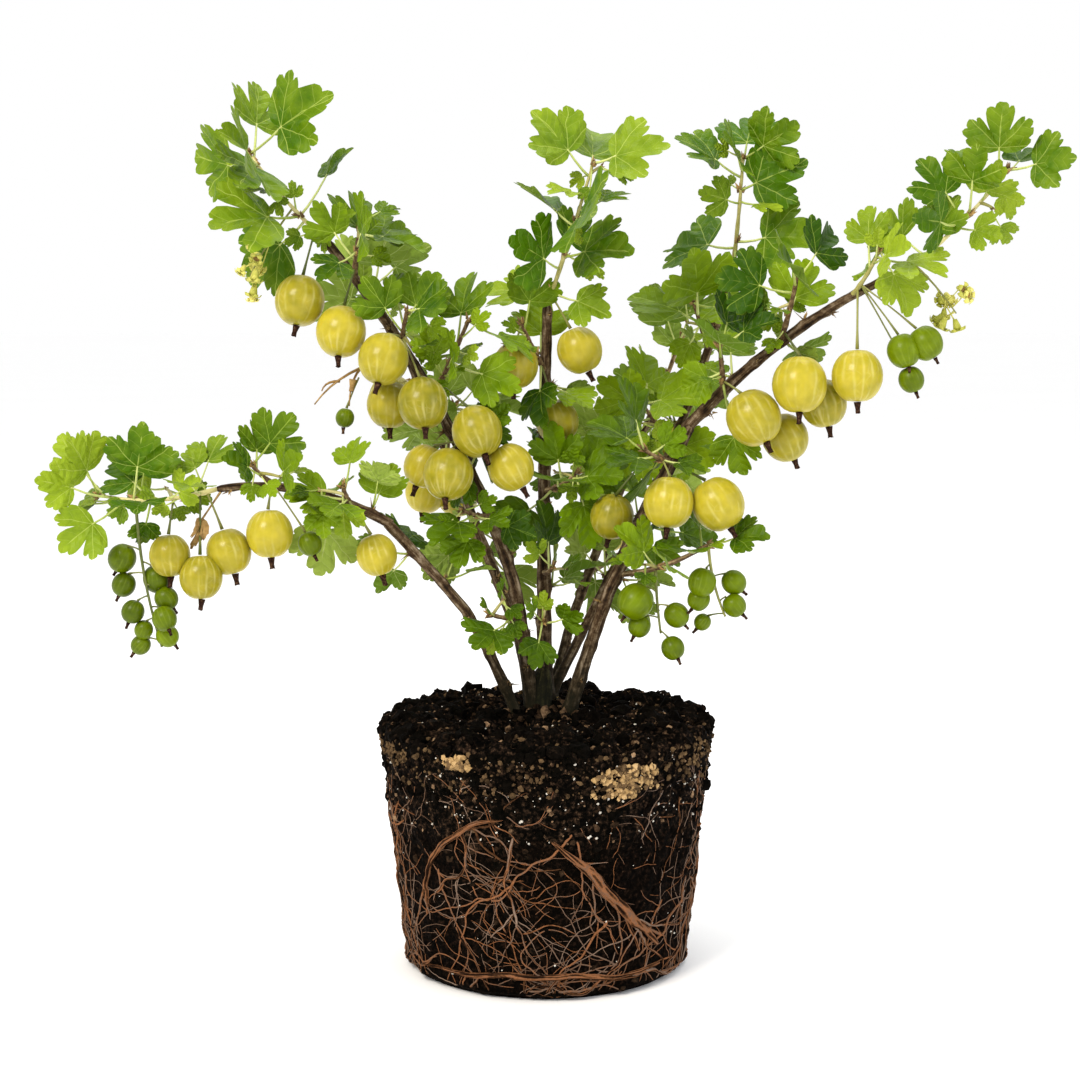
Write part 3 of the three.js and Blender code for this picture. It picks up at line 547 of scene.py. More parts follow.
# Gooseberry bark: thin, brown, split lengthwise into grey strips, rough. Its UV map runs round and
# along the limb, in millimetres.
def barkMaterial(name, dark, mid, grey, pale, streak, fleck, soiled="#14150a"):
    m = newMaterial(name)
    uv = addNode(m, "UVMap", uv_map="pattern")
    stretched = addNode(m, "Mapping", {"Vector": uv, "Scale": (1 / streak, 1 / (streak * 12), 1)})
    strips = addNode(m, "TexNoise", {"Vector": stretched, "Scale": 1.0, "Detail": 4.0, "Roughness": 0.65})
    place = addNode(m, "TexCoord", out="Object")
    flecks = addNode(m, "TexNoise", {"Vector": place, "Scale": 1 / (fleck * mm), "Detail": 5.0, "Roughness": 0.7})
    part = addNode(m, "Math", (flecks, 0.42), operation="MULTIPLY")
    both = addNode(m, "Math", (strips, 0.58, part), operation="MULTIPLY_ADD")
    colour = addNode(m, "ValToRGB", (both,), stops=[(0.38, dark), (0.46, mid), (0.53, grey), (0.62, pale)])
    height = addNode(m, "SeparateXYZ", (place,), "Z")
    height = addNode(m, "Math", (flecks, 0.03, height), operation="MULTIPLY_ADD")
    wet = addNode(m, "MapRange", (height, 0.147, 0.208, 0.92, 0.0), interpolation_type="SMOOTHSTEP")
    colour = addNode(m, "Mix", {0: wet, 6: colour, 7: hexColour(soiled)}, 2, data_type="RGBA")  # dark and mossy near the soil
    bump = addNode(m, "Bump", {"Height": both, "Distance": 0.9 * mm})
    shader = addNode(m, "BsdfPrincipled", {"Base Color": colour, "Roughness": 0.82, "Specular IOR Level": 0.12, "Normal": bump})
    addNode(m, "OutputMaterial", (shader,))
    return m


# Soft growth of this year, leaf stalks, berry stalks and petals: smooth and slightly waxy, and
# paler where the light has bleached it.
def softMaterial(name, low, high, roughness=0.5, grain=3):
    m = newMaterial(name)
    place = addNode(m, "TexCoord", out="Object")
    tone = addNode(m, "Attribute", out="Fac", attribute_name="tone")
    cloud = addNode(m, "TexNoise", {"Vector": place, "Scale": 1 / (grain * mm), "Detail": 3.0})
    blend = addNode(m, "Math", (cloud, 0.5, addNode(m, "Math", (tone, 0.5), operation="MULTIPLY")), operation="MULTIPLY_ADD")
    colour = addNode(m, "ValToRGB", (blend,), stops=[(0.3, low), (0.7, high)])
    bump = addNode(m, "Bump", {"Height": cloud, "Distance": 0.1 * mm})
    shader = addNode(m, "BsdfPrincipled", {"Base Color": colour, "Roughness": roughness, "Normal": bump})
    addNode(m, "OutputMaterial", (shader,))
    return m


# Gooseberry skin: clear and glossy over wet flesh, with pale veins from pole to pole that show
# through it. Light goes a few millimetres into the flesh.
berrySkin = {"veins": 16, "veinWidth": 0.26, "wander": 0.035, "scatter": (5.0, 3.6, 1.2), "web": 6}


def berryMaterial(name, low, high, vein, veinShow, scatter, coat, bloom):
    m = newMaterial(name)
    uv = addNode(m, "UVMap", uv_map="pattern")
    place = addNode(m, "TexCoord", out="Object")
    tone = addNode(m, "Attribute", out="Fac", attribute_name="tone")
    drift = addNode(m, "TexNoise", {"Vector": place, "Scale": 1 / (9 * mm), "Detail": 1.0})
    turn = addNode(m, "Math", (drift, berrySkin["wander"], addNode(m, "SeparateXYZ", (uv,))), operation="MULTIPLY_ADD")
    phase = addNode(m, "Math", (turn, float(berrySkin["veins"])), operation="MULTIPLY")
    phase = addNode(m, "Math", (phase, 0.5), operation="PINGPONG")
    lines = addNode(m, "MapRange", (phase, berrySkin["veinWidth"], 0.0, 0.0, 1.0), interpolation_type="SMOOTHSTEP")
    web = addNode(m, "TexVoronoi", {"Vector": place, "Scale": 1 / (berrySkin["web"] * mm)}, feature="DISTANCE_TO_EDGE")
    branches = addNode(m, "MapRange", (web, 0.07, 0.0, 0.0, 0.3), interpolation_type="SMOOTHSTEP")
    fade = addNode(m, "TexNoise", {"Vector": place, "Scale": 1 / (11 * mm), "Detail": 2.0})
    fade = addNode(m, "MapRange", (fade, 0.4, 0.68, 0.08, 1.0), interpolation_type="SMOOTHSTEP")
    veins = addNode(m, "Math", (lines, branches), operation="MAXIMUM")
    veins = addNode(m, "Math", (veins, fade), operation="MULTIPLY")
    cloud = addNode(m, "TexNoise", {"Vector": place, "Scale": 1 / (6 * mm), "Detail": 2.0})
    blend = addNode(m, "Math", (cloud, 0.55, addNode(m, "Math", (tone, 0.45), operation="MULTIPLY")), operation="MULTIPLY_ADD")
    flesh = addNode(m, "ValToRGB", (blend,), stops=[(0.2, low), (0.8, high)])
    show = addNode(m, "Math", (veins, veinShow), operation="MULTIPLY")
    colour = addNode(m, "Mix", {0: show, 6: flesh, 7: hexColour(vein)}, 2, data_type="RGBA")
    shader = addNode(m, "BsdfPrincipled", {
        "Base Color": colour, "Roughness": 0.4, "IOR": 1.4, "Subsurface Weight": scatter,
        "Subsurface Radius": berrySkin["scatter"], "Subsurface Scale": mm, "Specular IOR Level": 0.12,
        "Coat Weight": coat, "Coat Roughness": 0.2, "Sheen Weight": bloom, "Sheen Roughness": 0.35,
        "Sheen Tint": hexColour(high)})
    addNode(m, "OutputMaterial", (shader,))
    return m


# Peat compost, perlite, clay, roots and dried plant matter: dull and rough, with grain of a
# given size. "tones" is how much of the colour comes from the piece of grit or root itself.
def grainMaterial(name, stops, grain, bumpHeight, roughness=0.95, tones=0.0):
    m = newMaterial(name)
    place = addNode(m, "TexCoord", out="Object")
    speckle = addNode(m, "TexNoise", {"Vector": place, "Scale": 1 / (grain * mm), "Detail": 6.0, "Roughness": 0.65})
    tone = addNode(m, "Attribute", out="Fac", attribute_name="tone")
    part = addNode(m, "Math", (speckle, 1 - tones), operation="MULTIPLY")
    blend = addNode(m, "Math", (tone, tones, part), operation="MULTIPLY_ADD") if tones else speckle
    colour = addNode(m, "ValToRGB", (blend,), stops=stops)
    bump = addNode(m, "Bump", {"Height": speckle, "Distance": bumpHeight * mm})
    shader = addNode(m, "BsdfPrincipled", {"Base Color": colour, "Roughness": roughness, "Specular IOR Level": 0.03,
                                           "Normal": bump})
    addNode(m, "OutputMaterial", (shader,))
    return m


# Leaf tints, each an upper side, an under side and its veins: grown leaves, deep ones, and
# fresh ones at the tips of shoots. The deep tint is darker and goes to the masses inside and low in
# the crown: partly their own darker green, partly painted shade.
leafTints = {
    "grown": (("#2c4c00", "#758f0c"), ("#5c7820", "#8fa344"), "#a4ba4c"),
    "deep": (("#294300", "#5f7c04"), ("#527022", "#7f953e"), "#86a23a"),
    "fresh": (("#3e6000", "#8aa022"), ("#66801c", "#9aad48"), "#b8c862"),
}
leafMaterials = []
for tint, (upper, under, vein) in leafTints.items():
    leafMaterials.append(leafMaterial(f"{tint} leaf upper side", *upper, vein, 0.44, 0.4, 0.1))
    leafMaterials.append(leafMaterial(f"{tint} leaf under side", *under, "#b9c67a", 0.55, 0.65, 0.06))
tintNumber = {tint: 2 * i for i, tint in enumerate(leafTints)}

bark = barkMaterial("gooseberry bark", "#150d06", "#382818", "#5b4a35", "#8f7f69", 2, 4)
oldBark = barkMaterial("old bark at the soil", "#050402", "#15120a", "#332d17", "#5f5a36", 1.6, 4)
youngBark = barkMaterial("young bark", "#2e2013", "#5a4730", "#847050", "#b49f78", 0.7, 2.4)
shoot = softMaterial("fresh shoot", "#8d8842", "#bfb678")
petiole = softMaterial("leaf stalk", "#8ea03a", "#bcc572")
budScale = softMaterial("bud scale", "#5a4223", "#a08048", 0.7, 1.5)
ripeSkin = berryMaterial("ripe berry skin", "#726e08", "#b3a42a", "#e0d892", 0.26, 0.4, 0.34, 0.3)
greenSkin = berryMaterial("unripe berry skin", "#3c4c00", "#6a7e00", "#93a43c", 0.2, 0.1, 0.12, 0.1)
calyxBrown = grainMaterial("dried calyx", [(0.3, "#0e0805"), (0.52, "#33211a"), (0.75, "#6e543c")], 1.2, 0.3, 0.85)
berryStalk = softMaterial("berry stalk", "#4f5a1e", "#8a8a44")
petal = softMaterial("petal", "#a8aa38", "#e8de78", 0.6, 2)
throat = softMaterial("flower throat", "#5e4416", "#b8923c", 0.7, 1.2)
dried = grainMaterial("dried leaf", [(0.3, "#6e4f2a"), (0.7, "#c09f68")], 5, 0.3, 0.8)
compost = grainMaterial("peat compost", [(0.34, "#000000"), (0.5, "#070503"), (0.6, "#261b13"), (0.74, "#5f4a37")], 2.6, 1.8)
rooted = grainMaterial("compost full of fine roots", [(0.32, "#000000"), (0.52, "#070402"), (0.66, "#1f140d"),
                                                      (0.82, "#4a3423")], 2.2, 1.2)
crumb = grainMaterial("compost crumb", [(0.22, "#010100"), (0.4, "#0d0906"), (0.56, "#3a2b1e"), (0.76, "#94775a")], 2.5, 0.8,
                      tones=0.45)
perlite = grainMaterial("perlite", [(0.3, "#8f887c"), (0.7, "#dfdace")], 1.5, 0.2, 0.8)
lump = grainMaterial("clay lump", [(0.25, "#2e2317"), (0.45, "#6a543a"), (0.62, "#a98a5c"), (0.82, "#caaa7c")], 2, 0.8, 0.92,
                     tones=0.55)
rootSkin = grainMaterial("root bark", [(0.25, "#140a05"), (0.38, "#2b1a10"), (0.48, "#4e3420"), (0.56, "#845637"),
                                       (0.66, "#644e3f"), (0.86, "#867263")], 2.2, 0.5, 0.8, tones=0.6)
print("materials made")

# Limbs are round, bent along the source's curves, with ridges, knots and a wobble.
limbForm = {
    "sides": 16, "step": 2.0, "slim": 0.85, "curl": 0.25, "overlap": 3,
    "ridge": (0.13, 2.2), "wobble": (0.08, 0.7), "stretch": 16,  # how high each stands out and how fine it is
    "knot": 0.3, "knotSpacing": 19, "knotLength": 2.4, "knotTurn": 144,
    "ribs": 0.1, "footFlare": 0.22, "endTaper": 0.7,
}
limbFeet = {  # where each limb meets the soil, the height from which it keeps to the source's curve, and its girth there
    "right": (10.5, -6, 205, 0.76), "left_low": (-13, -3, 192, 0.82), "left_high": (-6.5, -1, 205, 0.86),
    "centre": (1, 3, 175, 0.95), "right_back": (-4, 9, 205, 0.78), "back_left": (-6, 7, 175, 1),
    "back_right": (1, 10, 175, 0.9),
}


def makeLimb(name, path, radii, seed, node, foot=False):
    draw = seeded(seed)
    count = len(path)
    lengths = np.concatenate(([0], np.cumsum(np.linalg.norm(np.diff(path, axis=0), axis=1))))
    knots, place, turn = [], 8 + draw() * 8, draw() * fullTurn
    while place < lengths[-1] - 3:
        knots.append((place, turn, 0.7 + draw() * 0.6))
        place += limbForm["knotSpacing"] * (0.7 + draw() * 0.6)
        turn += math.radians(limbForm["knotTurn"])
    across = framesAlong(path)
    bm = bmesh.new()
    layer = bm.loops.layers.uv.new("pattern")
    bmesh.ops.create_cone(bm, cap_ends=True, segments=limbForm["sides"], radius1=1, radius2=1, depth=2)
    bmesh.ops.subdivide_edges(bm, edges=lengthwise(bm), cuts=count - 2)
    onSkin = {}
    for vert in bm.verts:
        station = round((vert.co.z + 1) / 2 * (count - 1))
        angle = math.atan2(vert.co.y, vert.co.x)
        along = lengths[station]
        at = Vector((math.cos(angle) * 1.6, math.sin(angle) * 1.6, along / limbForm["stretch"] + seed))
        relief = 1 + sum(high * noise.noise(at * fine) for high, fine in (limbForm["ridge"], limbForm["wobble"]))
        for knot, facing, strength in knots:
            near = math.exp(-((along - knot) / limbForm["knotLength"]) ** 2)
            relief += limbForm["knot"] * strength * near * (0.5 + 0.5 * math.cos(angle - facing))
        if foot:  # it spreads in five ribs
            relief += limbForm["ribs"] * (1 - station / (count - 1)) ** 2 * math.cos(5 * angle + 1)
        side, other = across[station]
        point = path[station] + radii[station] * relief * (math.cos(angle) * side + math.sin(angle) * other)
        onSkin[vert] = (angle, along)
        vert.co = Vector(point * mm)
    girth = float(np.mean(radii))
    for face in bm.faces:
        turns = [onSkin[loop.vert][0] for loop in face.loops]
        wrapped = max(turns) - min(turns) > math.pi
        for loop, turned in zip(face.loops, turns):
            turned += math.tau if wrapped and turned < 0 else 0
            loop[layer].uv = (turned * girth, onSkin[loop.vert][1])
        face.smooth = True
    bmesh.ops.recalc_face_normals(bm, faces=bm.faces)
    finishPiece(meshOf(bm, name), [oldBark if foot else bark], [node])
    return [(int(np.searchsorted(lengths, knot)), facing) for knot, facing, strength in knots]


# The old stump between the limbs' feet, with a rounded head.
stump = {"stations": 22, "radius": 0.68, "flare": 0.2, "drop": 6, "shift": 1, "headFrom": 0.55, "headRound": 0.85, "seed": 5}
trunkFoot = array((*trunk["foot"], rootBall["height"] + rootBall["gap"]))
trunkTop = trunkFoot + array((*trunk["lean"], trunk["height"]))
trunkMiddle = array((trunkFoot[0], trunkFoot[1], (trunkFoot[2] + trunkTop[2]) / 2))
steps = np.linspace(0, 1, stump["stations"])
trunkPath = np.array([bezier(trunkFoot, trunkMiddle, trunkTop, t) for t in steps]) - (stump["shift"], 0, stump["drop"])
headPart = np.clip((steps - stump["headFrom"]) / (1 - stump["headFrom"]), 0, 1)
trunkRadii = trunk["radius"] * stump["radius"] * (1 + stump["flare"] * (1 - steps) ** 3)
makeLimb("trunk_bark", trunkPath, trunkRadii * np.sqrt(1 - stump["headRound"] * headPart ** 2), stump["seed"], "trunk", True)

limbs = {}  # each limb's path, radii and knots, for the spines and buds on it
for number, (name, row) in enumerate(boughs.items()):
    curve = boughCurve(row)
    count = int(np.linalg.norm(array(row["tip"]) - array(row["foot"])) / limbForm["step"])
    path = np.array([curve(t) for t in np.linspace(0, 1, count)])
    radii = np.linspace(*row["radius"], count) * limbForm["slim"]
    if name in limbFeet:  # it rises from the soil on its own, beside the others
        x, y, rise, girth = limbFeet[name]
        radii = radii * np.linspace(girth, 1, count)
        kept = path[:, 2] > rise
        path, radii = path[kept], radii[kept]
        foot = array((x, y, rootBall["height"] - 3))
        way = unit(path[0] - path[1])
        onwards = path[0] + way * (path[0][2] - foot[2]) * 0.5 / -way[2]
        middle = mix((path[0] + foot) / 2, onwards, limbForm["curl"])
        below = np.linspace(0, 1, round((rise - foot[2]) / limbForm["step"]))[:-1]
        path = np.concatenate(([bezier(foot, middle, path[0], t) for t in below], path))
        radii = np.concatenate((radii[0] * (1 + limbForm["footFlare"] * (1 - below) ** 2), radii))
    else:  # a limb that goes on from another is only lapped over it
        way = unit(path[0] - path[1])
        path = np.concatenate(([path[0] + way * k for k in range(limbForm["overlap"], 0, -1)], path))
        radii = np.concatenate(([radii[0]] * limbForm["overlap"], radii))
    radii[-1] *= limbForm["endTaper"]
    limbs[name] = (path, radii, makeLimb(f"bough_{name}_bark", path, radii, 31 + number * 7, f"bough_{name}"))
print("trunk and boughs made")


# A leaf is a blade with toothed lobes. Its outline is by angle from the middle vein, in degrees,
# and distance from the top of the stalk, in blade lengths.
blade = {
    "grown": ((0, 1), (4, 0.99), (7.5, 0.95), (9.5, 0.875), (11.5, 0.92), (15, 0.925), (19, 0.89), (22, 0.81), (25.5, 0.65),
              (29, 0.44), (32, 0.68), (34.5, 0.8), (38, 0.845), (41, 0.83), (42.5, 0.785), (44.5, 0.88), (48.5, 0.93),
              (53, 0.92), (56.5, 0.87), (58, 0.81), (60.5, 0.87), (65, 0.865), (69, 0.81), (72.5, 0.7), (76, 0.72), (81, 0.69),
              (87, 0.61), (95, 0.5), (106, 0.37), (122, 0.21), (150, 0.08), (180, 0.05)),
    "young": ((0, 1), (6, 0.97), (9.5, 0.87), (13, 0.92), (19, 0.88), (25, 0.67), (29, 0.48), (33, 0.74), (38, 0.83),
              (42, 0.79), (46, 0.91), (53, 0.9), (58, 0.81), (64, 0.86), (72, 0.71), (80, 0.69), (95, 0.5), (122, 0.22),
              (180, 0.05)),
    "variants": 8, "uneven": 0.016, "wide": (0.86, 1.1), "thickness": 0.012,
    "notch": 29, "shallow": (0.77, 0.85),  # how far out the notch between two lobes may move, and by which share at most
    "fold": 0.15, "foldWidth": 25, "wave": 0.06, "waves": 5, "droopSpread": 0.05, "twistSpread": 0.1,
}


def leafShape(seed, half):
    draw = seeded(seed)
    spread = eitherWay(draw)
    shallow, wide = draw() ** 2 * blade["shallow"][1], mix(*blade["wide"], draw())  # some are less cut, some are wider
    half = [(a, mix(r, blade["shallow"][0], shallow) if abs(a - blade["notch"]) < 4 else r) for a, r in half]
    right = [(a, r * (1 + spread(blade["uneven"]))) for a, r in half]
    left = [(-a, r * (1 + spread(blade["uneven"]))) for a, r in half[1:-1]]
    droop, twist, phase = leaf["droop"] + spread(blade["droopSpread"]), spread(blade["twistSpread"]), draw() * fullTurn
    bm = bmesh.new()
    rim = []
    for angle, distance in left + right[::-1]:
        x, y = polar(angle, distance)
        rim.append(bm.verts.new((x * wide, y, 0)))
    bm.faces.new(rim)
    middle = bmesh.ops.poke(bm, faces=bm.faces[:])["verts"][0]
    middle.co = (0, 0, 0)
    cut = bmesh.ops.bisect_edges(bm, edges=middle.link_edges[:], cuts=1)["geom_split"]
    old = {middle, *rim}
    bmesh.ops.connect_verts(bm, verts=[part for part in cut if isinstance(part, bmesh.types.BMVert) and part not in old])
    for vert in bm.verts:  # the blade cups, droops at its tip, folds up between its veins and waves at its rim
        x, y = vert.co.x, vert.co.y
        angle = math.degrees(math.atan2(abs(x), y))
        off = min(abs(angle - ray) for ray in leafVeins["rays"]) / blade["foldWidth"]
        reachOut = math.hypot(x, y)
        vert.co.z = (leaf["cup"] * abs(x) - droop * max(0, y) ** 2 + twist * x * y
                     + blade["fold"] * reachOut * min(1, off) ** 2
                     + blade["wave"] * reachOut * math.sin(math.atan2(x, y) * blade["waves"] + phase))
    bm.normal_update()
    if sum(face.normal.z for face in bm.faces) < 0:
        bmesh.ops.reverse_faces(bm, faces=bm.faces)
    copy = bmesh.ops.duplicate(bm, geom=bm.verts[:] + bm.edges[:] + bm.faces[:])
    under = [part for part in copy["geom"] if isinstance(part, bmesh.types.BMFace)]
    bmesh.ops.reverse_faces(bm, faces=under)
    for face in under:
        face.material_index = 1
    for vert in {vert for face in under for vert in face.verts if not vert.is_boundary}:
        vert.co.z -= blade["thickness"]
    bmesh.ops.remove_doubles(bm, verts=bm.verts, dist=1e-6)
    layer = bm.loops.layers.uv.new("pattern")
    for face in bm.faces:
        for loop in face.loops:
            loop[layer].uv = loop.vert.co.xy
    onRim = np.array([len({face.material_index for face in vert.link_faces}) > 1 for vert in bm.verts])
    return shapeOf(bm) | {"rim": onRim}


grownLeaves = [leafShape(900 + k, blade["grown"]) for k in range(blade["variants"])]
youngLeaves = [leafShape(950 + k, blade["young"]) for k in range(blade["variants"])]
print("leaf shapes made:", len(grownLeaves[0]["sizes"]), "and", len(youngLeaves[0]["sizes"]), "faces")


# A berry hangs along -Z, a little longer than wide, with a shallow dip at the stalk and the calyx.
berryForm = {"around": 28, "rows": 16, "long": 1.07, "dip": 0.07, "dipFrom": 0.85}


def berryShape():
    bm = bmesh.new()
    bmesh.ops.create_uvsphere(bm, u_segments=berryForm["around"], v_segments=berryForm["rows"], radius=1)
    layer = bm.loops.layers.uv.new("pattern")
    for face in bm.faces:
        turns = [math.atan2(loop.vert.co.y, loop.vert.co.x) / math.tau + 0.5 for loop in face.loops]
        poles = [abs(loop.vert.co.z) > 0.999 for loop in face.loops]
        real = [turn for turn, pole in zip(turns, poles) if not pole]
        wrapped = max(real) - min(real) > 0.5
        turns = [turn + 1 if wrapped and turn < 0.5 else turn for turn in turns]
        middle = sum(turn for turn, pole in zip(turns, poles) if not pole) / len(real)
        for loop, turn, pole in zip(face.loops, turns, poles):
            loop[layer].uv = (middle if pole else turn, loop.vert.co.z)
    for vert in bm.verts:
        atPole = max(0, abs(vert.co.z) - berryForm["dipFrom"]) / (1 - berryForm["dipFrom"])
        vert.co.z *= berryForm["long"] * (1 - berryForm["dip"] * atPole ** 2)
    return shapeOf(bm)


# The dried flower at the end of a berry: a narrow brown tube that ends in crumpled lobes.
calyxForm = {"sides": 10, "length": 7, "neck": 1.9, "waist": 1.2, "mouth": 1.5, "thickness": 0.18, "shapes": 4}


def calyxShape(seed):
    draw = seeded(seed)
    bm = bmesh.new()
    bmesh.ops.create_cone(bm, cap_ends=False, segments=calyxForm["sides"], radius1=1, radius2=1, depth=1)
    bmesh.ops.subdivide_edges(bm, edges=lengthwise(bm), cuts=3)
    for vert in bm.verts:
        along = 0.5 - vert.co.z  # 0 at the berry, 1 at the mouth
        angle = math.atan2(vert.co.y, vert.co.x)
        if along < 0.5:
            radius = mix(calyxForm["neck"], calyxForm["waist"], min(1, along * 2))
        else:
            radius = mix(calyxForm["waist"], calyxForm["mouth"] * (0.75 + 0.35 * draw()), along * 2 - 1)
        lobe = (0.5 + 0.5 * math.cos(5 * angle)) * draw() ** 0.3 if along > 0.95 else 1
        reach = calyxForm["length"] * along * mix(0.72, 1, lobe)
        vert.co = Vector((math.cos(angle) * radius, math.sin(angle) * radius, -reach))
    bmesh.ops.solidify(bm, geom=bm.faces[:], thickness=calyxForm["thickness"])
    return shapeOf(bm)


# A gooseberry flower hangs along -Z: a pale bell with a dark mouth and five petals bent back.
flowerForm = {
    "sides": 10, "bell": 2.3, "top": 1.1, "long": 6.0, "belly": (0.8, 0.3), "lip": 0.5, "deep": 1.4,
    "petals": 5, "petal": 2.3, "petalWidth": 2.4, "thickness": 0.25,
    "size": (0.8, 1.1), "perPlace": 2, "apart": 8, "stalk": (0.35, 0.3, 0.4),
}


def flowerShape():
    bm = bmesh.new()
    long = flowerForm["long"]
    bmesh.ops.create_cone(bm, cap_ends=True, segments=flowerForm["sides"], radius1=flowerForm["bell"],
                          radius2=flowerForm["top"], depth=long)
    bmesh.ops.subdivide_edges(bm, edges=lengthwise(bm), cuts=2)
    for vert in bm.verts:
        plump = flowerForm["belly"][0] + flowerForm["belly"][1] * (1 - abs(vert.co.z / long + 0.1) ** 2)
        vert.co.x, vert.co.y = vert.co.x * plump, vert.co.y * plump
    mouth = [face for face in bm.faces if face.calc_center_median().z < -long * 0.49]
    bmesh.ops.inset_region(bm, faces=mouth, thickness=flowerForm["lip"], depth=-flowerForm["deep"])
    for face in mouth:
        face.material_index = 1
    for k in range(flowerForm["petals"]):
        grid = bmesh.ops.create_grid(bm, x_segments=2, y_segments=3, size=0.5)["verts"]
        for vert in grid:
            along = vert.co.y + 0.5
            wide = flowerForm["petalWidth"] * (0.55 + 0.9 * math.sin(math.pi * min(0.93, along + 0.08)))
            bent = 0.2 - 1.2 * math.sin(along * 2.2) + 1.9 * along ** 2 + abs(vert.co.x) * 0.3
            vert.co = Vector((vert.co.x * wide, flowerForm["bell"] * 0.85 + flowerForm["petal"] * along, bent - long / 2))
        bmesh.ops.rotate(bm, verts=grid, cent=(0, 0, 0), matrix=Matrix.Rotation(k * math.tau / flowerForm["petals"], 3, "Z"))
    petals = [face for face in bm.faces if any(vert.is_boundary for vert in face.verts)]
    bmesh.ops.solidify(bm, geom=petals, thickness=flowerForm["thickness"])
    return shapeOf(bm)


def scaleShape():  # a bud scale: a short pointed hood
    bm = bmesh.new()
    bmesh.ops.create_cone(bm, cap_ends=True, segments=5, radius1=1, radius2=0.12, depth=1)
    for vert in bm.verts:
        vert.co.y *= 0.6
        vert.co.z += 0.5
    return shapeOf(bm)


berryBall, flowerBell, budHood = berryShape(), flowerShape(), scaleShape()
calyxes = [calyxShape(970 + k) for k in range(calyxForm["shapes"])]


# The masses go together limb by limb, and each limb has one piece of leaves.
limbOf = {"left_low_arm": "left_low", "right_arm": "right", "back_left": "back", "back_right": "back"}
families = {}
for row in masses:
    families.setdefault(limbOf.get(row["bough"], row["bough"]), []).append(row)
tintOf = {  # the leaf tint of each mass, where it isn't "grown"
    **dict.fromkeys(("left_low_tip", "left_high_tip", "centre_top", "right_back_top", "right_tip", "right_arm_outer"), "fresh"),
    # the deep masses lie inside and low in the crown, and their darker tint is partly painted shade
    **dict.fromkeys(("left_inner", "left_foot", "centre_mid", "centre_low", "centre_foot", "right_back_low", "right_stem_top",
                     "back_left_low", "back_right_low", "left_high_low"), "deep"),
}
deeperTone = {"left_high_tip": 0.3}  # and this mass is a deeper green than its tint
lifeSize = {"fresh": 0.88, "grown": 0.8, "deep": 0.74}  # the solids' leaves are a little larger than life
smaller = {  # and these masses have smaller leaves than others
    "left_low_tip": 0.84, "left_low_mid": 0.95, "right_tip": 0.86, "right_arm_outer": 0.92, "right_back_mid": 0.92,
}
lifeRoll = 34  # how far, in degrees, a leaf may turn about its own length beyond its solid
openness = {"fresh": 0.04, "grown": 0.14, "deep": 0.24}  # the share of grown leaves left off, where the sky shows
seating = {"near": 0.03, "corners": 7}  # a leaf is seated where this many of its outline's corners are this near the solid's
youngLeaf = {
    "perLeaf": 0.5, "blade": (8, 18), "stalk": (6, 14), "lean": (-30, 70), "roll": 40,
    "tries": 6, "room": 0.6, "halfWidth": 0.8, "middle": 0.35, "margin": 1.5,
    "corners": ((0, 1), (50, 0.9), (-50, 0.9), (104, 0.6), (-104, 0.6)),
}
sideTwig = {"perMass": 1, "reach": (8, 15), "lean": 60, "radius": (1.0, 0.7), "clear": 0.3, "leaves": 3, "apart": 0.12}
ripeFrom = 19  # berries this wide are ripe
strigTaper = (1.04, 0.74)  # berries are smaller towards the end of a string


def heading(aim, lean):  # the direction with this angle in the XZ plane, turned to the front by "lean"
    ahead, flat = polar(lean)
    rise, aside = polar(aim, flat)
    return array((aside, -ahead, rise))


def leafFrame(item, face, aimTurn=0, leanTurn=0):  # across the blade, along it, and up from it
    along = heading(item["aim"] + aimTurn, item["lean"] + leanTurn)
    upper = unit(face - along * (face @ along))
    upper = spun(upper, along, math.radians(item["roll"]))
    return np.cross(along, upper), along, upper


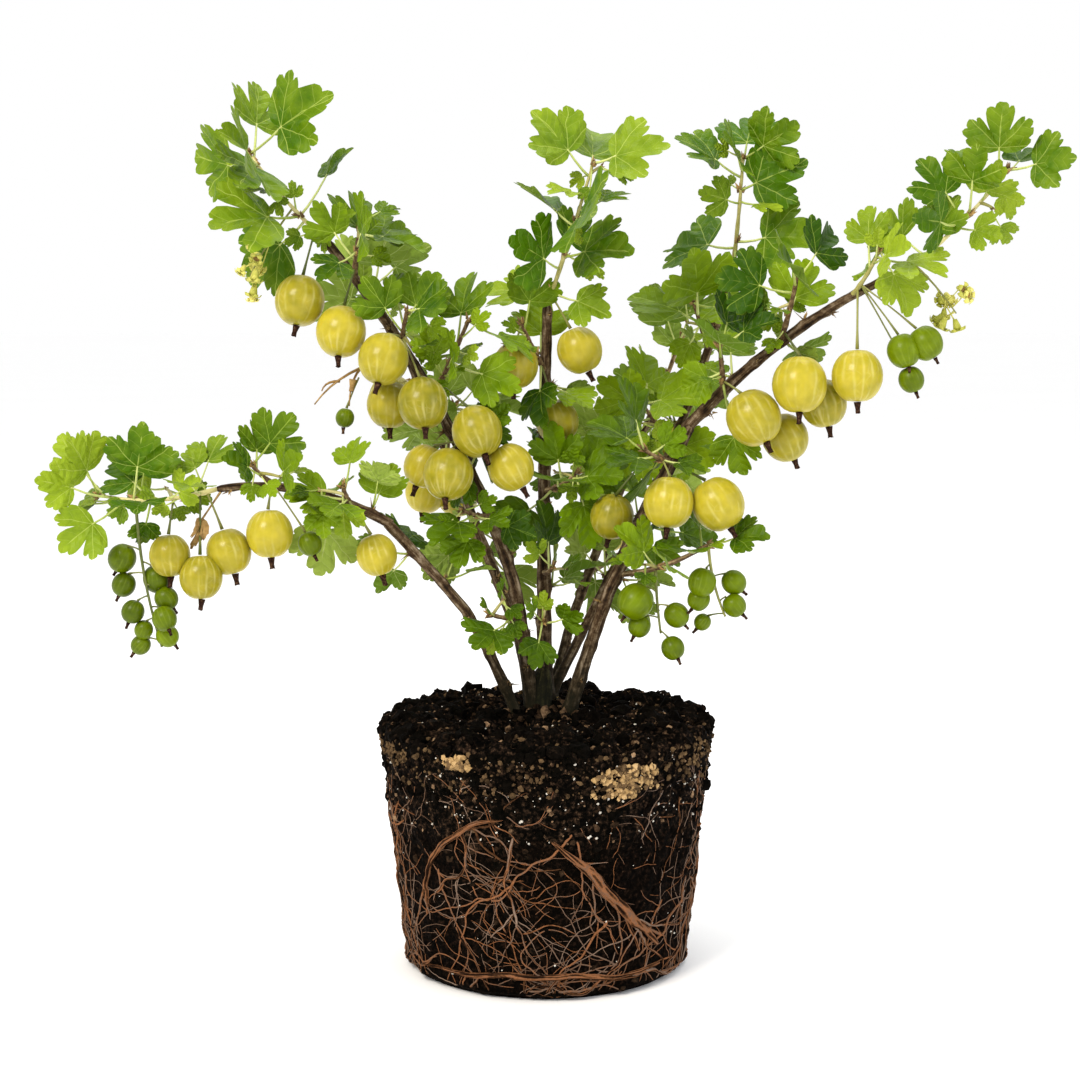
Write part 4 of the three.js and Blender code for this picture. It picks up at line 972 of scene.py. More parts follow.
def growMass(row):  # works out where everything in a mass goes, by the source's rule
    draw = seeded(row["seed"])
    spread = eitherWay(draw)
    back = row.get("side") == "back"
    face = array((0, 1 if back else -1, leaf["face"]))
    bough = boughs[row["bough"]]
    start = boughCurve(bough)(row["at"])
    reach = array(row["reach"])
    size = np.linalg.norm(reach)
    bend = array((0, twig["bend"] if back else -twig["bend"], -twig["sag"] * math.hypot(reach[0], reach[1])))
    stem = bowed(start, start + reach, bend)
    outside = (mix(*bough["radius"], row["at"]) + twig["collar"]) / size
    onStem = lambda at: stem(max(at, outside))
    berries, strings, clusters, leaves = [], [], [], []
    for fruit in row.get("fruit", []):
        berries.append((onStem(fruit["at"]), stem(fruit["at"]) + array(fruit["drop"]), fruit["size"] / 2))
    for bunch in row.get("strigs", []):
        top = onStem(bunch["at"])
        drop = array(bunch["drop"])
        string = bowed(top, top + drop, array((-drop[0] * strig["bow"], 0, 0)))
        strings.append(string)
        for k in range(bunch["berries"]):
            down = k / (bunch["berries"] - 1)
            joint = string(mix(bunch["first"], strig["last"], down) - strig["above"])
            aside = strig["aside"] if k % 2 else -strig["aside"]
            side = array((aside, spread(strig["outwards"]), -strig["below"])) * bunch["size"]
            radius = bunch["size"] * (1 + spread(strig["sizeSpread"])) / 2 * mix(*strigTaper, down)
            berries.append((joint, joint + side, radius))
    for cluster in row.get("blossom", []):
        top, places = onStem(cluster["at"]), []
        for k in range(cluster["flowers"]):
            below = blossom["first"] - k * blossom["step"]
            side = array((spread(blossom["aside"]), spread(blossom["outwards"]), below))
            places.append(top + array(cluster["drop"]) + side)
        clusters.append((top, places))
    for number, spray in enumerate(row["sprays"]):
        for k in range(spray["leaves"]):
            along = k / (spray["leaves"] - 1) if spray["leaves"] > 1 else 0
            item = {"root": onStem(spray["at"] - leaf["spacing"] / size * k), "spray": number}
            item["aim"] = mix(*spray["fan"], along) + spread(leaf["aimSpread"])
            item["lean"] = (spray.get("lean", 0) + (-1 if k % 2 else 1) * mix(*leaf["lean"], draw())) * (-1 if back else 1)
            item["roll"] = spread(leaf["rollSpread"])
            item["blade"] = spray.get("blade", leaf["blade"]) * (1 + spread(leaf["sizeSpread"]))
            item["stalk"] = spray.get("stalk", leaf["stalk"]) * (1 + spread(leaf["stalkSpread"]))
            leaves.append(item)
    return dict(face=face, stem=stem, outside=outside, berries=berries, strings=strings, clusters=clusters, leaves=leaves)


def seatOfLeaf(item, face, tree):  # the turn and size that the solid took for this leaf, or None where it left the leaf out
    for size in leaf["sizes"]:
        length = item["blade"] * size
        outline = []
        for angle, distance in leaf["halfOutline"]:
            x, y = polar(angle, distance * length)
            lift = leaf["cup"] * x - leaf["droop"] * length * max(0, y / length) ** 2
            outline += [(x, y, lift), (-x, y, lift)]
        for aimTurn in leaf["aimTurns"]:
            for leanTurn in leaf["leanTurns"]:
                across, along, upper = leafFrame(item, face, aimTurn, leanTurn)
                top = item["root"] + along * item["stalk"]
                corners = [(top + across * x + along * y + upper * z) * mm for x, y, z in outline]
                if sum(tree.find(Vector(corner))[2] < seating["near"] * mm for corner in corners) >= seating["corners"]:
                    return dict(top=top, across=across, along=along, upper=upper, blade=length, root=item["root"])
    return None


solidTrees, solidCorners, solidFaces = {}, [], []
for name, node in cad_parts.items():
    tree = KDTree(len(node.data.vertices))
    for vertex in node.data.vertices:
        tree.insert(vertex.co, vertex.index)
    tree.balance()
    solidTrees[name] = tree
    first = len(solidCorners)
    solidCorners += [vertex.co.copy() for vertex in node.data.vertices]
    solidFaces += [[first + index for index in polygon.vertices] for polygon in node.data.polygons]
solids = BVHTree.FromPolygons(solidCorners, solidFaces)
youngPlaces = []  # the middle and half width of each young leaf, which keep out of each other


def hasRoom(seat, low, high):  # a young leaf stays in its mass's space and meets no solid and no other young leaf
    top, length = seat["top"], seat["blade"]
    tips = []
    for angle, distance in youngLeaf["corners"]:
        x, y = polar(angle, distance)
        lift = leaf["cup"] * abs(x) - leaf["droop"] * max(0, y) ** 2
        tips.append(top + length * (seat["across"] * x + seat["along"] * y + seat["upper"] * lift))
    if any((tip < low).any() or (tip > high).any() for tip in tips):
        return False
    for a, b in [(top, tip) for tip in tips] + [(tips[0], tips[1]), (tips[0], tips[2]), (tips[1], tips[3]), (tips[2], tips[4])]:
        way = Vector((b - a) * mm)
        if solids.ray_cast(Vector(a * mm), way.normalized(), way.length)[0] is not None:
            return False
    middle, half = top + seat["along"] * length * youngLeaf["middle"], length * youngLeaf["halfWidth"]
    if any(np.linalg.norm(other - middle) < (width + half) * youngLeaf["room"] for other, width in youngPlaces):
        return False
    youngPlaces.append((middle, half))
    return True


def growYoung(mass, draw, low, high):  # young leaves along the stem and on short side twigs
    seats, twigs, spread = [], [], eitherWay(draw)
    stem, outside, face = mass["stem"], mass["outside"], mass["face"]
    out = 1 if face[1] < 0 else -1
    roots = [stem(mix(outside, 1, draw())) for k in range(round(len(mass["leaves"]) * youngLeaf["perLeaf"]))]
    for k in range(sideTwig["perMass"]):
        start = stem(mix(outside, 1, draw()))
        end = start + heading(draw() * 360, out * spread(sideTwig["lean"])) * mix(*sideTwig["reach"], draw())
        a, b = Vector(start * mm), Vector((end - start) * mm)
        hit = solids.ray_cast(a + b * sideTwig["clear"], b.normalized(), b.length)[0]
        if hit is None and (end > low).all() and (end < high).all():
            twigs.append((start, end))
            roots += [mix(start, end, 1 - sideTwig["apart"] * j) for j in range(sideTwig["leaves"])]
    for root in roots:
        for attempt in range(youngLeaf["tries"]):
            item = {"aim": draw() * 360, "lean": out * mix(*youngLeaf["lean"], draw()), "roll": spread(youngLeaf["roll"])}
            across, along, upper = leafFrame(item, face)
            length = mix(*youngLeaf["blade"], draw() ** 1.5)
            seat = dict(top=root + along * mix(*youngLeaf["stalk"], draw()), across=across, along=along, upper=upper,
                        blade=length, root=root)
            if hasRoom(seat, low, high):
                seats.append(seat)
                break
    return seats, twigs


# Stalks, twigs, bud scales and spines, in millimetres. A stalk has a radius at each end.
stalkForm = {
    "stem": (1.7, 1.0), "freshStem": (1.35, 0.75), "stations": 12, "stemSides": 8, "swell": 0.12, "swellEvery": 2.3,
    "leaf": (0.85, 0.55), "bow": 0.05, "underLeaf": 0.02, "leafSides": 4,
    "berry": (0.7, 0.55, 0.6, 1.0), "arch": 0.8, "string": (0.9, 0.6), "blossom": (0.6, 0.35), "sides": 5,
}
berryPlay = {"shift": (8, 6, 8), "size": (0.86, 1.04), "swing": 0.5, "down": 0.8, "calyxTilt": 0.35, "greenStalk": 0.75,
             "greenCalyx": 0.6}
scaleForm = {"count": 6, "radius": 1.2, "long": 3.6, "tall": (0.7, 1.2), "lean": (0.25, 0.8), "round": 1.4, "along": 3}
spineForm = {"radius": 0.55, "long": 8.5, "tall": (0.5, 1)}
leafTone = {"spray": (0.05, 0.9), "leaf": 0.4, "young": (0.3, 1), "freshShare": 0.25}

twigPile, shootPile, leafStalkPile, scalePile, spinePile = newPile(), newPile(), newPile(), newPile(), newPile()
ripePile, greenPile, calyxPile, berryStalkPile, flowerPile = newPile(), newPile(), newPile(), newPile(), newPile()
dress = seeded(4711)  # the dressing's own numbers, so that the source's rule keeps its own
seated, leftOut, youngCount = 0, 0, 0


def addLeaf(pile, seat, shapes, tone, tint):
    shape = shapes[int(dress() * len(shapes))]
    root, top, size = seat["root"], seat["top"], seat["blade"]
    addCopy(pile, shape, turnedTo(seat["across"], seat["along"], seat["upper"], top, size), tone, tintNumber[tint])
    middle = (root + top) / 2 - array((0, 0, 2 * np.linalg.norm(top - root) * stalkForm["bow"]))
    end = top + seat["along"] * size * stalkForm["underLeaf"]
    path = [bezier(root, middle, end, t) for t in (0, 0.3, 0.65, 1)]
    thick = 0.6 + 0.4 * min(1, size / leaf["blade"])
    addTube(leafStalkPile, path, np.linspace(*stalkForm["leaf"], 4) * thick, stalkForm["leafSides"], dress())


def addBerry(joint, centre, radius):
    ripe = 2 * radius >= ripeFrom
    if not ripe:  # the small green ones hang less evenly
        centre = centre + toss(dress, *berryPlay["shift"])
        radius *= mix(*berryPlay["size"], dress())
    hang = unit(unit(centre - joint) + toss(dress, berryPlay["swing"], berryPlay["swing"], 0) - (0, 0, berryPlay["down"]))
    addCopy(ripePile if ripe else greenPile, berryBall, pointing(-hang, centre, dress() * fullTurn, radius), dress())
    pole = centre - hang * radius * berryForm["long"] * 0.97
    middle = (joint + pole) / 2 + array((0, 0, stalkForm["arch"]))
    path = [bezier(joint, middle, pole, t) for t in (0, 0.35, 0.7, 1)]
    thick = 1.0 if ripe else berryPlay["greenStalk"]
    addTube(berryStalkPile, path, array(stalkForm["berry"]) * thick, stalkForm["sides"], dress())
    shape = calyxes[int(dress() * len(calyxes))]
    tilt = unit(hang + toss(dress, berryPlay["calyxTilt"], berryPlay["calyxTilt"], 0))
    end = centre + hang * radius * berryForm["long"] * 0.95
    addCopy(calyxPile, shape, pointing(-tilt, end, dress() * fullTurn, 1.0 if ripe else berryPlay["greenCalyx"]), dress())


def addScales(place, way, count, around, size=1.0):  # brown bud scales packed round a twig
    wide = scaleForm["radius"] * size
    for k in range(count):
        side = pointing(way, place, dress() * fullTurn)[:3, 0]
        lean = unit(way * 0.9 + side * mix(*scaleForm["lean"], dress()))
        spot = place + side * around * 0.7 + way * (dress() - 0.6) * scaleForm["along"]
        turn, tall = dress() * fullTurn, scaleForm["long"] * mix(*scaleForm["tall"], dress()) * size
        addCopy(scalePile, budHood, pointing(lean, spot, turn, (wide, wide, tall)), dress())


def addStem(row, stem, fresh):
    path = np.array([stem(t) for t in np.linspace(0, 1, stalkForm["stations"])])
    swell = 1 + stalkForm["swell"] * np.sin(np.arange(len(path)) * stalkForm["swellEvery"] + row["seed"])
    radii = np.linspace(*stalkForm["freshStem" if fresh else "stem"], len(path)) * swell
    addTube(shootPile if fresh else twigPile, path, radii, stalkForm["stemSides"], dress())
    return unit(path[-1] - path[0])


def addCluster(top, places):  # flowers hang along one stalk
    end = sum(places) / len(places)
    string = bowed(top, end + unit(end - top) * 3, array((0, 0, 1.5)))
    addTube(berryStalkPile, [string(t) for t in np.linspace(0, 1, 7)], np.linspace(*stalkForm["blossom"], 7), 4, 0.8)
    for place in places:
        for k in range(flowerForm["perPlace"]):
            spot = place + toss(dress, *[flowerForm["apart"]] * 3)
            joint = string(mix(0.5, 1, dress()))
            hang = unit(unit(spot - joint) - (0, 0, 0.7))
            size = mix(*flowerForm["size"], dress())
            addCopy(flowerPile, flowerBell, pointing(-hang, spot, dress() * fullTurn, size), dress())
            addTube(flowerPile, [joint, (joint + spot) / 2, spot - hang], flowerForm["stalk"], 4, dress())


for family, rows in families.items():
    leafPile = newPile()
    for row in rows:
        name = row["name"]
        mass = growMass(row)
        low, high = [array(corner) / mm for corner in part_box(f"foliage_{name}")]
        low, high = low - youngLeaf["margin"], high + youngLeaf["margin"]
        tint = tintOf.get(name, "grown")
        stem = mass["stem"]
        way = addStem(row, stem, tint == "fresh")
        sprayTones = [mix(*leafTone["spray"], dress()) - deeperTone.get(name, 0) for spray in row["sprays"]]
        for spray in row["sprays"]:
            addScales(stem(max(spray["at"], mass["outside"])), way, scaleForm["count"], scaleForm["round"])
        for item in mass["leaves"]:
            seat = seatOfLeaf(item, mass["face"], solidTrees[f"foliage_{name}"])
            if seat is None:
                leftOut += 1
                continue
            if dress() < openness[tint]:
                continue
            seated += 1
            seat["blade"] *= lifeSize[tint] * smaller.get(name, 1)
            roll = math.radians(eitherWay(dress)(lifeRoll))
            seat["across"], seat["upper"] = [spun(seat[side], seat["along"], roll) for side in ("across", "upper")]
            tone = min(1, max(0, sprayTones[item["spray"]] + leafTone["leaf"] * (dress() - 0.5)))
            addLeaf(leafPile, seat, grownLeaves, tone, tint)
        seats, twigs = growYoung(mass, dress, low, high)
        youngCount += len(seats)
        for seat in seats:
            tone = mix(*leafTone["young"], dress())
            addLeaf(leafPile, seat, youngLeaves, tone, "fresh" if dress() < leafTone["freshShare"] else tint)
        for start, end in twigs:
            middle = (start + end) / 2 + array((0, 0, stalkForm["arch"]))
            addTube(shootPile, [bezier(start, middle, end, t) for t in (0, 0.33, 0.67, 1)],
                    np.linspace(*sideTwig["radius"], 4), stalkForm["sides"], dress())
            addScales(end, unit(end - start), 3, 0.6, 0.6)
        for joint, centre, radius in mass["berries"]:
            addBerry(joint, centre, radius)
        for string in mass["strings"]:
            addTube(berryStalkPile, [string(t) for t in np.linspace(0, 0.94, 9)], np.linspace(*stalkForm["string"], 9),
                    stalkForm["sides"], dress())
        for top, places in mass["clusters"]:
            addCluster(top, places)
    pilePiece(f"leaves_{family}", leafPile, leafMaterials, [f"foliage_{row['name']}" for row in rows])
print(seated, "grown leaves seated,", leftOut, "left out as in the source,", youngCount, "young leaves")


# Knots on the boughs carry a tuft of bud scales and a spine or two, and those that face away from
# the front also a few leaves.
spurLeaf = {"from": 195, "leaves": 4, "blade": (13, 25), "stalk": (8, 18), "tries": 8}
spurPile = newPile()
wholeLow, wholeHigh = array(cadLow) / mm, array(cadHigh) / mm
for name, (path, radii, knots) in limbs.items():
    across = framesAlong(path)
    for station, facing in knots:
        if station < 6 or station > len(path) - 3:
            continue
        side, other = across[station]
        out = unit(math.cos(facing) * side + math.sin(facing) * other)
        way = unit(path[station + 1] - path[station - 1])
        knob = path[station] + out * radii[station] * 1.15
        addScales(knob, unit(out + way * 0.7), 4, 0.9, 0.75)
        for k in range(1 + int(dress() * 2)):
            lean = unit(out + way * (dress() - 0.3) + np.cross(out, way) * (dress() - 0.5) * 1.6)
            size = (spineForm["radius"], spineForm["radius"], spineForm["long"] * mix(*spineForm["tall"], dress()))
            foot = path[station] + out * radii[station] * 0.9
            addCopy(spinePile, budHood, pointing(lean, foot, dress() * fullTurn, size), dress())
        if knob[2] < spurLeaf["from"] or out[1] < 0:
            continue
        for k in range(spurLeaf["leaves"]):
            for attempt in range(spurLeaf["tries"]):
                along = unit(out + toss(dress, 1.8, 1.8, 1.8) + (0, 0, 0.54))
                upper = array((0, 0.5, 1)) + toss(dress, 1.2, 1.2, 0)
                upper = unit(upper - along * (upper @ along))
                top = knob + along * mix(*spurLeaf["stalk"], dress())
                seat = dict(top=top, across=np.cross(along, upper), along=along, upper=upper, root=knob,
                            blade=mix(*spurLeaf["blade"], dress()))
                if hasRoom(seat, wholeLow, wholeHigh):
                    addLeaf(spurPile, seat, grownLeaves, dress(), "grown")
                    break

addBerry(array((-98, -8, 315)), array((-105, -10, 297)), 5.6)  # one green berry is left beside the dry stalks
pilePiece("leaves_on_spurs", spurPile, leafMaterials)
pilePiece("spur_twigs", twigPile, [youngBark])
pilePiece("fresh_shoots", shootPile, [shoot])
pilePiece("leaf_stalks", leafStalkPile, [petiole])
pilePiece("bud_scales", scalePile, [budScale])
pilePiece("spines", spinePile, [youngBark])
pilePiece("ripe_berries", ripePile, [ripeSkin])
pilePiece("green_berries", greenPile, [greenSkin])
pilePiece("dried_calyxes", calyxPile, [calyxBrown])
pilePiece("berry_stalks", berryStalkPile, [berryStalk])
pilePiece("flowers", flowerPile, [petal, throat])
print("foliage made")


# One dry brown leaf, a papery husk and a few dry stalks still hang in the crown. Each stalk is
# given by its foot and its end.
dryParts = {
    "leafFoot": (-166, -42, 258), "leafTop": (-176, -46, 243), "leafAlong": (-0.25, -0.2, -1), "blade": 15,
    "leafStalk": (0.7, 0.5, 0.5, 0.6), "husk": (-101, -9, 314), "huskWay": (0.15, 0.1, 1), "huskSize": 1.1,
    "stalks": (((-97, -7, 320), (-121, -13, 301)), ((-108, -9, 313), (-117, -14, 308)), ((-97, -7, 320), (-103, -10, 300))),
    "stalk": (0.8, 0.35), "bow": (-3, -2, 3),
}
dryPile = newPile()
top, along = array(dryParts["leafTop"]), unit(array(dryParts["leafAlong"]))
upper = unit(np.cross(along, (1, 0.4, 0)))
crumpled = leafShape(991, blade["young"])
curl = crumpled["points"] * array((0.4, 1, 1))
curl[:, 2] += 0.5 * np.abs(curl[:, 0]) + 0.25 * np.sin(curl[:, 1] * 5)
addCopy(dryPile, crumpled | {"points": curl, "materials": crumpled["materials"] * 0},
        turnedTo(np.cross(along, upper), along, upper, top, dryParts["blade"]), 0.5)
addTube(dryPile, [mix(array(dryParts["leafFoot"]), top, t) for t in (0, 0.4, 0.7, 1)], dryParts["leafStalk"], 4, 0.4)
addCopy(dryPile, calyxes[1], pointing(unit(array(dryParts["huskWay"])), array(dryParts["husk"]), 0, dryParts["huskSize"]), 0.3)
for start, end in dryParts["stalks"]:
    start, end = array(start), array(end)
    middle = (start + end) / 2 + array(dryParts["bow"])
    path = [bezier(start, middle, end, t) for t in np.linspace(0, 1, 6)]
    addTube(dryPile, path, np.linspace(*dryParts["stalk"], 6), 4, dress())
pilePiece("dry_leaf_and_stalks", dryPile, [dried])


# The root ball keeps the shape of the tapered pot it grew in: dark peat with perlite and clay
# above, and a web of roots over the lower wall.
ball = {
    "around": 230, "wallStep": 2.3, "edge": (6, 3.6, 1), "shoulder": (4, 2.2, 0.5), "mound": (0.74, 0.5, 3), "heap": 5,
    "relief": ((26, 1.9), (9, 1.9), (3.5, 1.1)),  # size of each kind of lump and how far it stands out
    "topRelief": 2.7,  # the top is rougher than the wall
    "webFrom": 84, "webWaver": ((22, 9), (5, 5)),  # the height where the web of roots ends, and how that wavers
    "crumbs": 4600, "crumb": (0.6, 2.6), "clods": 470, "clod": (2.2, 7.5), "wallClod": 0.6, "clodTone": 0.28,
    "rim": 520, "rimGrain": (0.9, 4.6), "collar": 460, "collarGrain": (1.2, 4.2),
    "perlite": 700, "perliteSize": (0.32, 1.0),
    "lumps": 1600, "lumpSize": (0.6, 1.9), "looseTone": 0.34, "cake": 0.5, "cakeSize": (1.4, 3.2), "paleFrom": 0.7,
}
thickRoots = (  # angle round the wall and height at both ends, radius and wander; "arch" leaves sideways and turns down
    dict(angle=(272, 318), height=(85, 24), radius=2.8, wander=3, seed=3),
    dict(angle=(255, 219), height=(96, 38), radius=1.5, wander=3, seed=8, arch=True),
    dict(angle=(212, 322), height=(10, 12), radius=1.5, wander=3, seed=12),
    dict(angle=(20, 78), height=(88, 16), radius=2.6, wander=5, seed=23),
    dict(angle=(100, 168), height=(24, 84), radius=2.4, wander=5, seed=29),
)


def wallRadius(z):
    return mix(rootBall["bottomRadius"], rootBall["topRadius"], z / rootBall["height"])


def soilRelief(x, y, z):  # how far the soil stands out at a place
    return sum(far * noise.noise(Vector((x / wide + 7, y / wide, z / wide))) for wide, far in ball["relief"])


def makeRootBall():
    height, topRadius, bottomRadius = rootBall["height"], rootBall["topRadius"], rootBall["bottomRadius"]
    width, rise, inset = ball["edge"]
    drop, narrow, fall = ball["shoulder"]
    outer, inner, mound = ball["mound"]
    seat = rootBall["seatRadius"]
    corners = [
        (0, 0), (bottomRadius - width, 0), (bottomRadius - inset, rise), (topRadius, height - drop),
        (topRadius - narrow, height - fall), (topRadius * outer, height + mound), (topRadius * inner, height + mound / 2),
        (seat, height + ball["heap"] / 2), (0, height + ball["heap"]),
    ]
    bm = bmesh.new()
    layer = bm.loops.layers.uv.new("pattern")
    profile = []
    for (r1, z1), (r2, z2) in zip(corners, corners[1:]):
        parts = max(1, round(math.hypot(r2 - r1, z2 - z1) / ball["wallStep"]))
        profile += [bm.verts.new((mix(r1, r2, k / parts), 0, mix(z1, z2, k / parts))) for k in range(parts)]
    profile.append(bm.verts.new((0, 0, height + ball["heap"])))
    edges = [bm.edges.new(pair) for pair in zip(profile, profile[1:])]
    bmesh.ops.spin(bm, geom=profile + edges, cent=(0, 0, 0), axis=(0, 0, 1), angle=math.tau, steps=ball["around"],
                   use_merge=True)
    bmesh.ops.remove_doubles(bm, verts=bm.verts, dist=1e-4)
    bmesh.ops.recalc_face_normals(bm, faces=bm.faces)
    for vert in bm.verts:
        x, y, z = vert.co
        out = math.hypot(x, y)
        if z < 0.5 or out < seat * 0.5:
            continue
        push = soilRelief(x, y, z)
        if z > height - drop:
            vert.co.z += push * ball["topRelief"] * min(1, (out - seat * 0.5) / 12)
        vert.co.x += x / out * push
        vert.co.y += y / out * push
    (wide, far), (fine, little) = ball["webWaver"]
    for face in bm.faces:
        middle = face.calc_center_median()
        edge = ball["webFrom"] + far * noise.noise(Vector((middle.x / wide, middle.y / wide, 3)))
        edge += little * noise.noise(middle / fine)
        face.material_index = 1 if middle.z < edge else 0
        face.smooth = True
    bmesh.ops.scale(bm, vec=(mm, mm, mm), verts=bm.verts)
    skin = BVHTree.FromBMesh(bm)
    finishPiece(meshOf(bm, "root_ball_soil"), (compost, rooted), ["root_ball"])
    return skin


soilSkin = makeRootBall()


def gritShape(seed, wobble, finer=1):  # an angular grain
    draw = seeded(seed)
    bm = bmesh.new()
    bmesh.ops.create_icosphere(bm, subdivisions=finer, radius=1)
    for vert in bm.verts:
        vert.co *= 1 + (draw() * 2 - 1) * wobble / finer + 0.3 * noise.noise(vert.co * 1.3 + Vector((seed, 0, 0)))
    return shapeOf(bm)


grits = [gritShape(40 + k, 0.35) for k in range(6)]
pellets = [gritShape(60 + k, 0.15) for k in range(4)]
clods = [gritShape(80 + k, 0.55, 2) for k in range(5)]
grain = seeded(2024)
crumbPile, perlitePile, lumpPile, rootPile = newPile(), newPile(), newPile(), newPile()
lumpPatches = (  # angle, half width, height, half height, palest tone
    (298, 12, 115, 9, 0.92), (240, 5, 124, 3, 0.9), (66, 8, 113, 6, 0.92), (152, 5, 120, 4, 0.8), (208, 12, 122, 7, 0.42),
    (330, 12, 123, 7, 0.46), (20, 16, 122, 6, 0.42), (115, 18, 123, 6, 0.42),
)


def soilPlace(angle, z):  # a place on the wall
    out = Vector((math.cos(angle), math.sin(angle), 0))
    hit = soilSkin.ray_cast((out * 120 + Vector((0, 0, z))) * mm, -out)[0]
    return array(hit) / mm, array(out)


def inPatch(patch, angle, far):  # a place on the wall in a patch, where "far" is 1 at its edge
    return soilPlace(math.radians(patch[0] + math.cos(angle) * far * patch[1]), patch[2] + math.sin(angle) * far * patch[3])


def onClay(angle, z):  # whether a place lies in one of the pale patches, which no clod covers
    for facing, wide, height, high, palest in lumpPatches:
        side = ((math.degrees(angle) - facing + 180) % 360 - 180) / wide
        if palest > ball["paleFrom"] and side ** 2 + ((z - height) / high) ** 2 < 1.8:
            return True
    return False


def topPlace(out, angle):  # a place on the top
    hit = soilSkin.ray_cast(Vector((math.cos(angle) * out, math.sin(angle) * out, 200)) * mm, Vector((0, 0, -1)))[0]
    return array(hit) / mm, array((0, 0, 1))


def onTop(nearest, farthest):  # anywhere on the top between these distances from the middle
    return topPlace(math.sqrt(mix(nearest ** 2, farthest ** 2, grain())), grain() * fullTurn)


def addGrain(pile, shapes, place, out, size, sunk=0.35, tone=None):
    shape = shapes[int(grain() * len(shapes))]
    way, turn = unit(out + toss(grain, 1.5, 1.5, 1.5)), grain() * fullTurn
    sizes = (size, size * mix(0.7, 1, grain()), size * mix(0.6, 1, grain()))
    addCopy(pile, shape, pointing(way, place - out * size * sunk, turn, sizes), grain() if tone is None else tone)


for k in range(ball["crumbs"]):
    size = mix(*ball["crumb"], grain() ** 3)
    if grain() < 0.4:  # over the top, but not under the trunk
        place, out = onTop(17, 86)
    else:
        z = mix(ball["webFrom"] - 12, 128, grain()) if grain() < 0.72 else mix(3, 90, grain())
        turn = grain() * fullTurn
        if onClay(turn, z):
            continue
        place, out = soilPlace(turn, z)
    addGrain(crumbPile, grits, place, out, size, tone=grain() ** 2.1 * (1 if place[2] > ball["webFrom"] else 0.5))
for k in range(ball["clods"]):  # larger clods break the edge of the top
    if grain() < 0.55:
        place, out = onTop(30, 86)
    else:
        turn, z = grain() * fullTurn, mix(86, 130, grain() ** 0.6)
        if onClay(turn, z):
            continue
        place, out = soilPlace(turn, z)
    size = mix(*ball["clod"], grain() ** 2) * (1 if out[2] else ball["wallClod"])
    addGrain(crumbPile, clods, place, out, size, 0.3, ball["clodTone"] * grain() ** 2)
for k in range(ball["rim"]):  # and its rim is ragged
    place, out = soilPlace(grain() * fullTurn, mix(124, 131, grain()))
    size = mix(*ball["rimGrain"], grain() ** 2.5)
    addGrain(crumbPile, clods if grain() < 0.4 else grits, place - out * size * 0.5, unit(out + array((0, 0, 2))), size, -0.1,
             grain() ** 2 * 0.8 * (1 - size / 6))
for k in range(ball["collar"]):  # soil lies up against the foot of the trunk
    place, out = topPlace(mix(5, 25, grain()), grain() * fullTurn)
    addGrain(crumbPile, clods if grain() < 0.3 else grits, place, out, mix(*ball["collarGrain"], grain() ** 2),
             mix(-0.6, 0.2, grain()), grain() ** 3)
for k in range(ball["perlite"]):
    if grain() < 0.35:
        place, out = onTop(20, 84)
    else:
        place, out = soilPlace(grain() * fullTurn, mix(84, 128, grain()) if grain() < 0.85 else mix(6, 90, grain()))
    addGrain(perlitePile, pellets, place, out, mix(*ball["perliteSize"], grain() ** 2), 0.1)
for patch in lumpPatches:  # the pale patches are caked clay under loose grains
    for k in range(round(patch[1] * patch[3] * ball["cake"]) if patch[4] > ball["paleFrom"] else 0):
        place, out = inPatch(patch, grain() * fullTurn, math.sqrt(grain()) * 0.85)
        addGrain(lumpPile, clods, place, out, mix(*ball["cakeSize"], grain()), 0.5, patch[4] * mix(0.1, 0.75, grain()))
for k in range(ball["lumps"]):
    palest = ball["looseTone"]
    if grain() < 0.6:
        patch = lumpPatches[int(grain() ** 1.6 * len(lumpPatches))]
        palest, angle = patch[4], grain() * fullTurn
        ragged = noise.noise(Vector((math.cos(angle) * 1.7, math.sin(angle) * 1.7, patch[0])))
        place, out = inPatch(patch, angle, grain() ** 0.6 * (1 + 0.6 * ragged))
    elif grain() < 0.85:
        place, out = soilPlace(grain() * fullTurn, mix(108, 129, grain()))
    else:
        place, out = onTop(55, 87)
    addGrain(lumpPile, grits, place, out, mix(*ball["lumpSize"], grain() ** 2), -0.2, grain() ** 0.6 * palest)


def onWall(places, radii):  # a root's path along the wall through these places, each (angle, height)
    spots, outs = zip(*[soilPlace(turn, max(1 + radius, z)) for (turn, z), radius in zip(places, radii)])
    far = [math.hypot(spot[0], spot[1]) for spot in spots]
    path = []
    for k, (spot, out) in enumerate(zip(spots, outs)):  # it rides on the bumps, and is buried at its ends
        around = far[max(0, k - 2):k + 3]
        lift = max(far[k], sum(around) / len(around)) - far[k] + 0.5 * radii[k]
        path.append(spot + out * (lift if 0 < k < len(spots) - 1 else -1.2 * radii[k]))
    return np.array(path)


# A root of some thickness is knobbly, with grooves along it, and splits near its end. Its tone follows the relief,
# darker in the grooves and paler on the ridges: partly its own furrowed bark, partly painted shade and painted
# highlight.
knobs = {
    "sides": 18, "stations": 90, "from": 0.75, "pale": 0.12,
    "swell": ((0, 0.25), (0.12, 0.55), (0.35, 1), (0.65, 0.95), (0.8, 0.7), (1, 0.35)),
    "groove": 0.42, "grooves": 2.7, "grooveLength": 13, "grooveTone": 1.2, "twist": 0.02, "knob": 0.3, "knobSize": 5,
    "fork": 0.68, "forkLength": 0.34, "forkWidth": (0.5, 0.18), "forkAside": 3.4, "forkSides": 9, "forkStations": 34,
    "branches": 5,
}


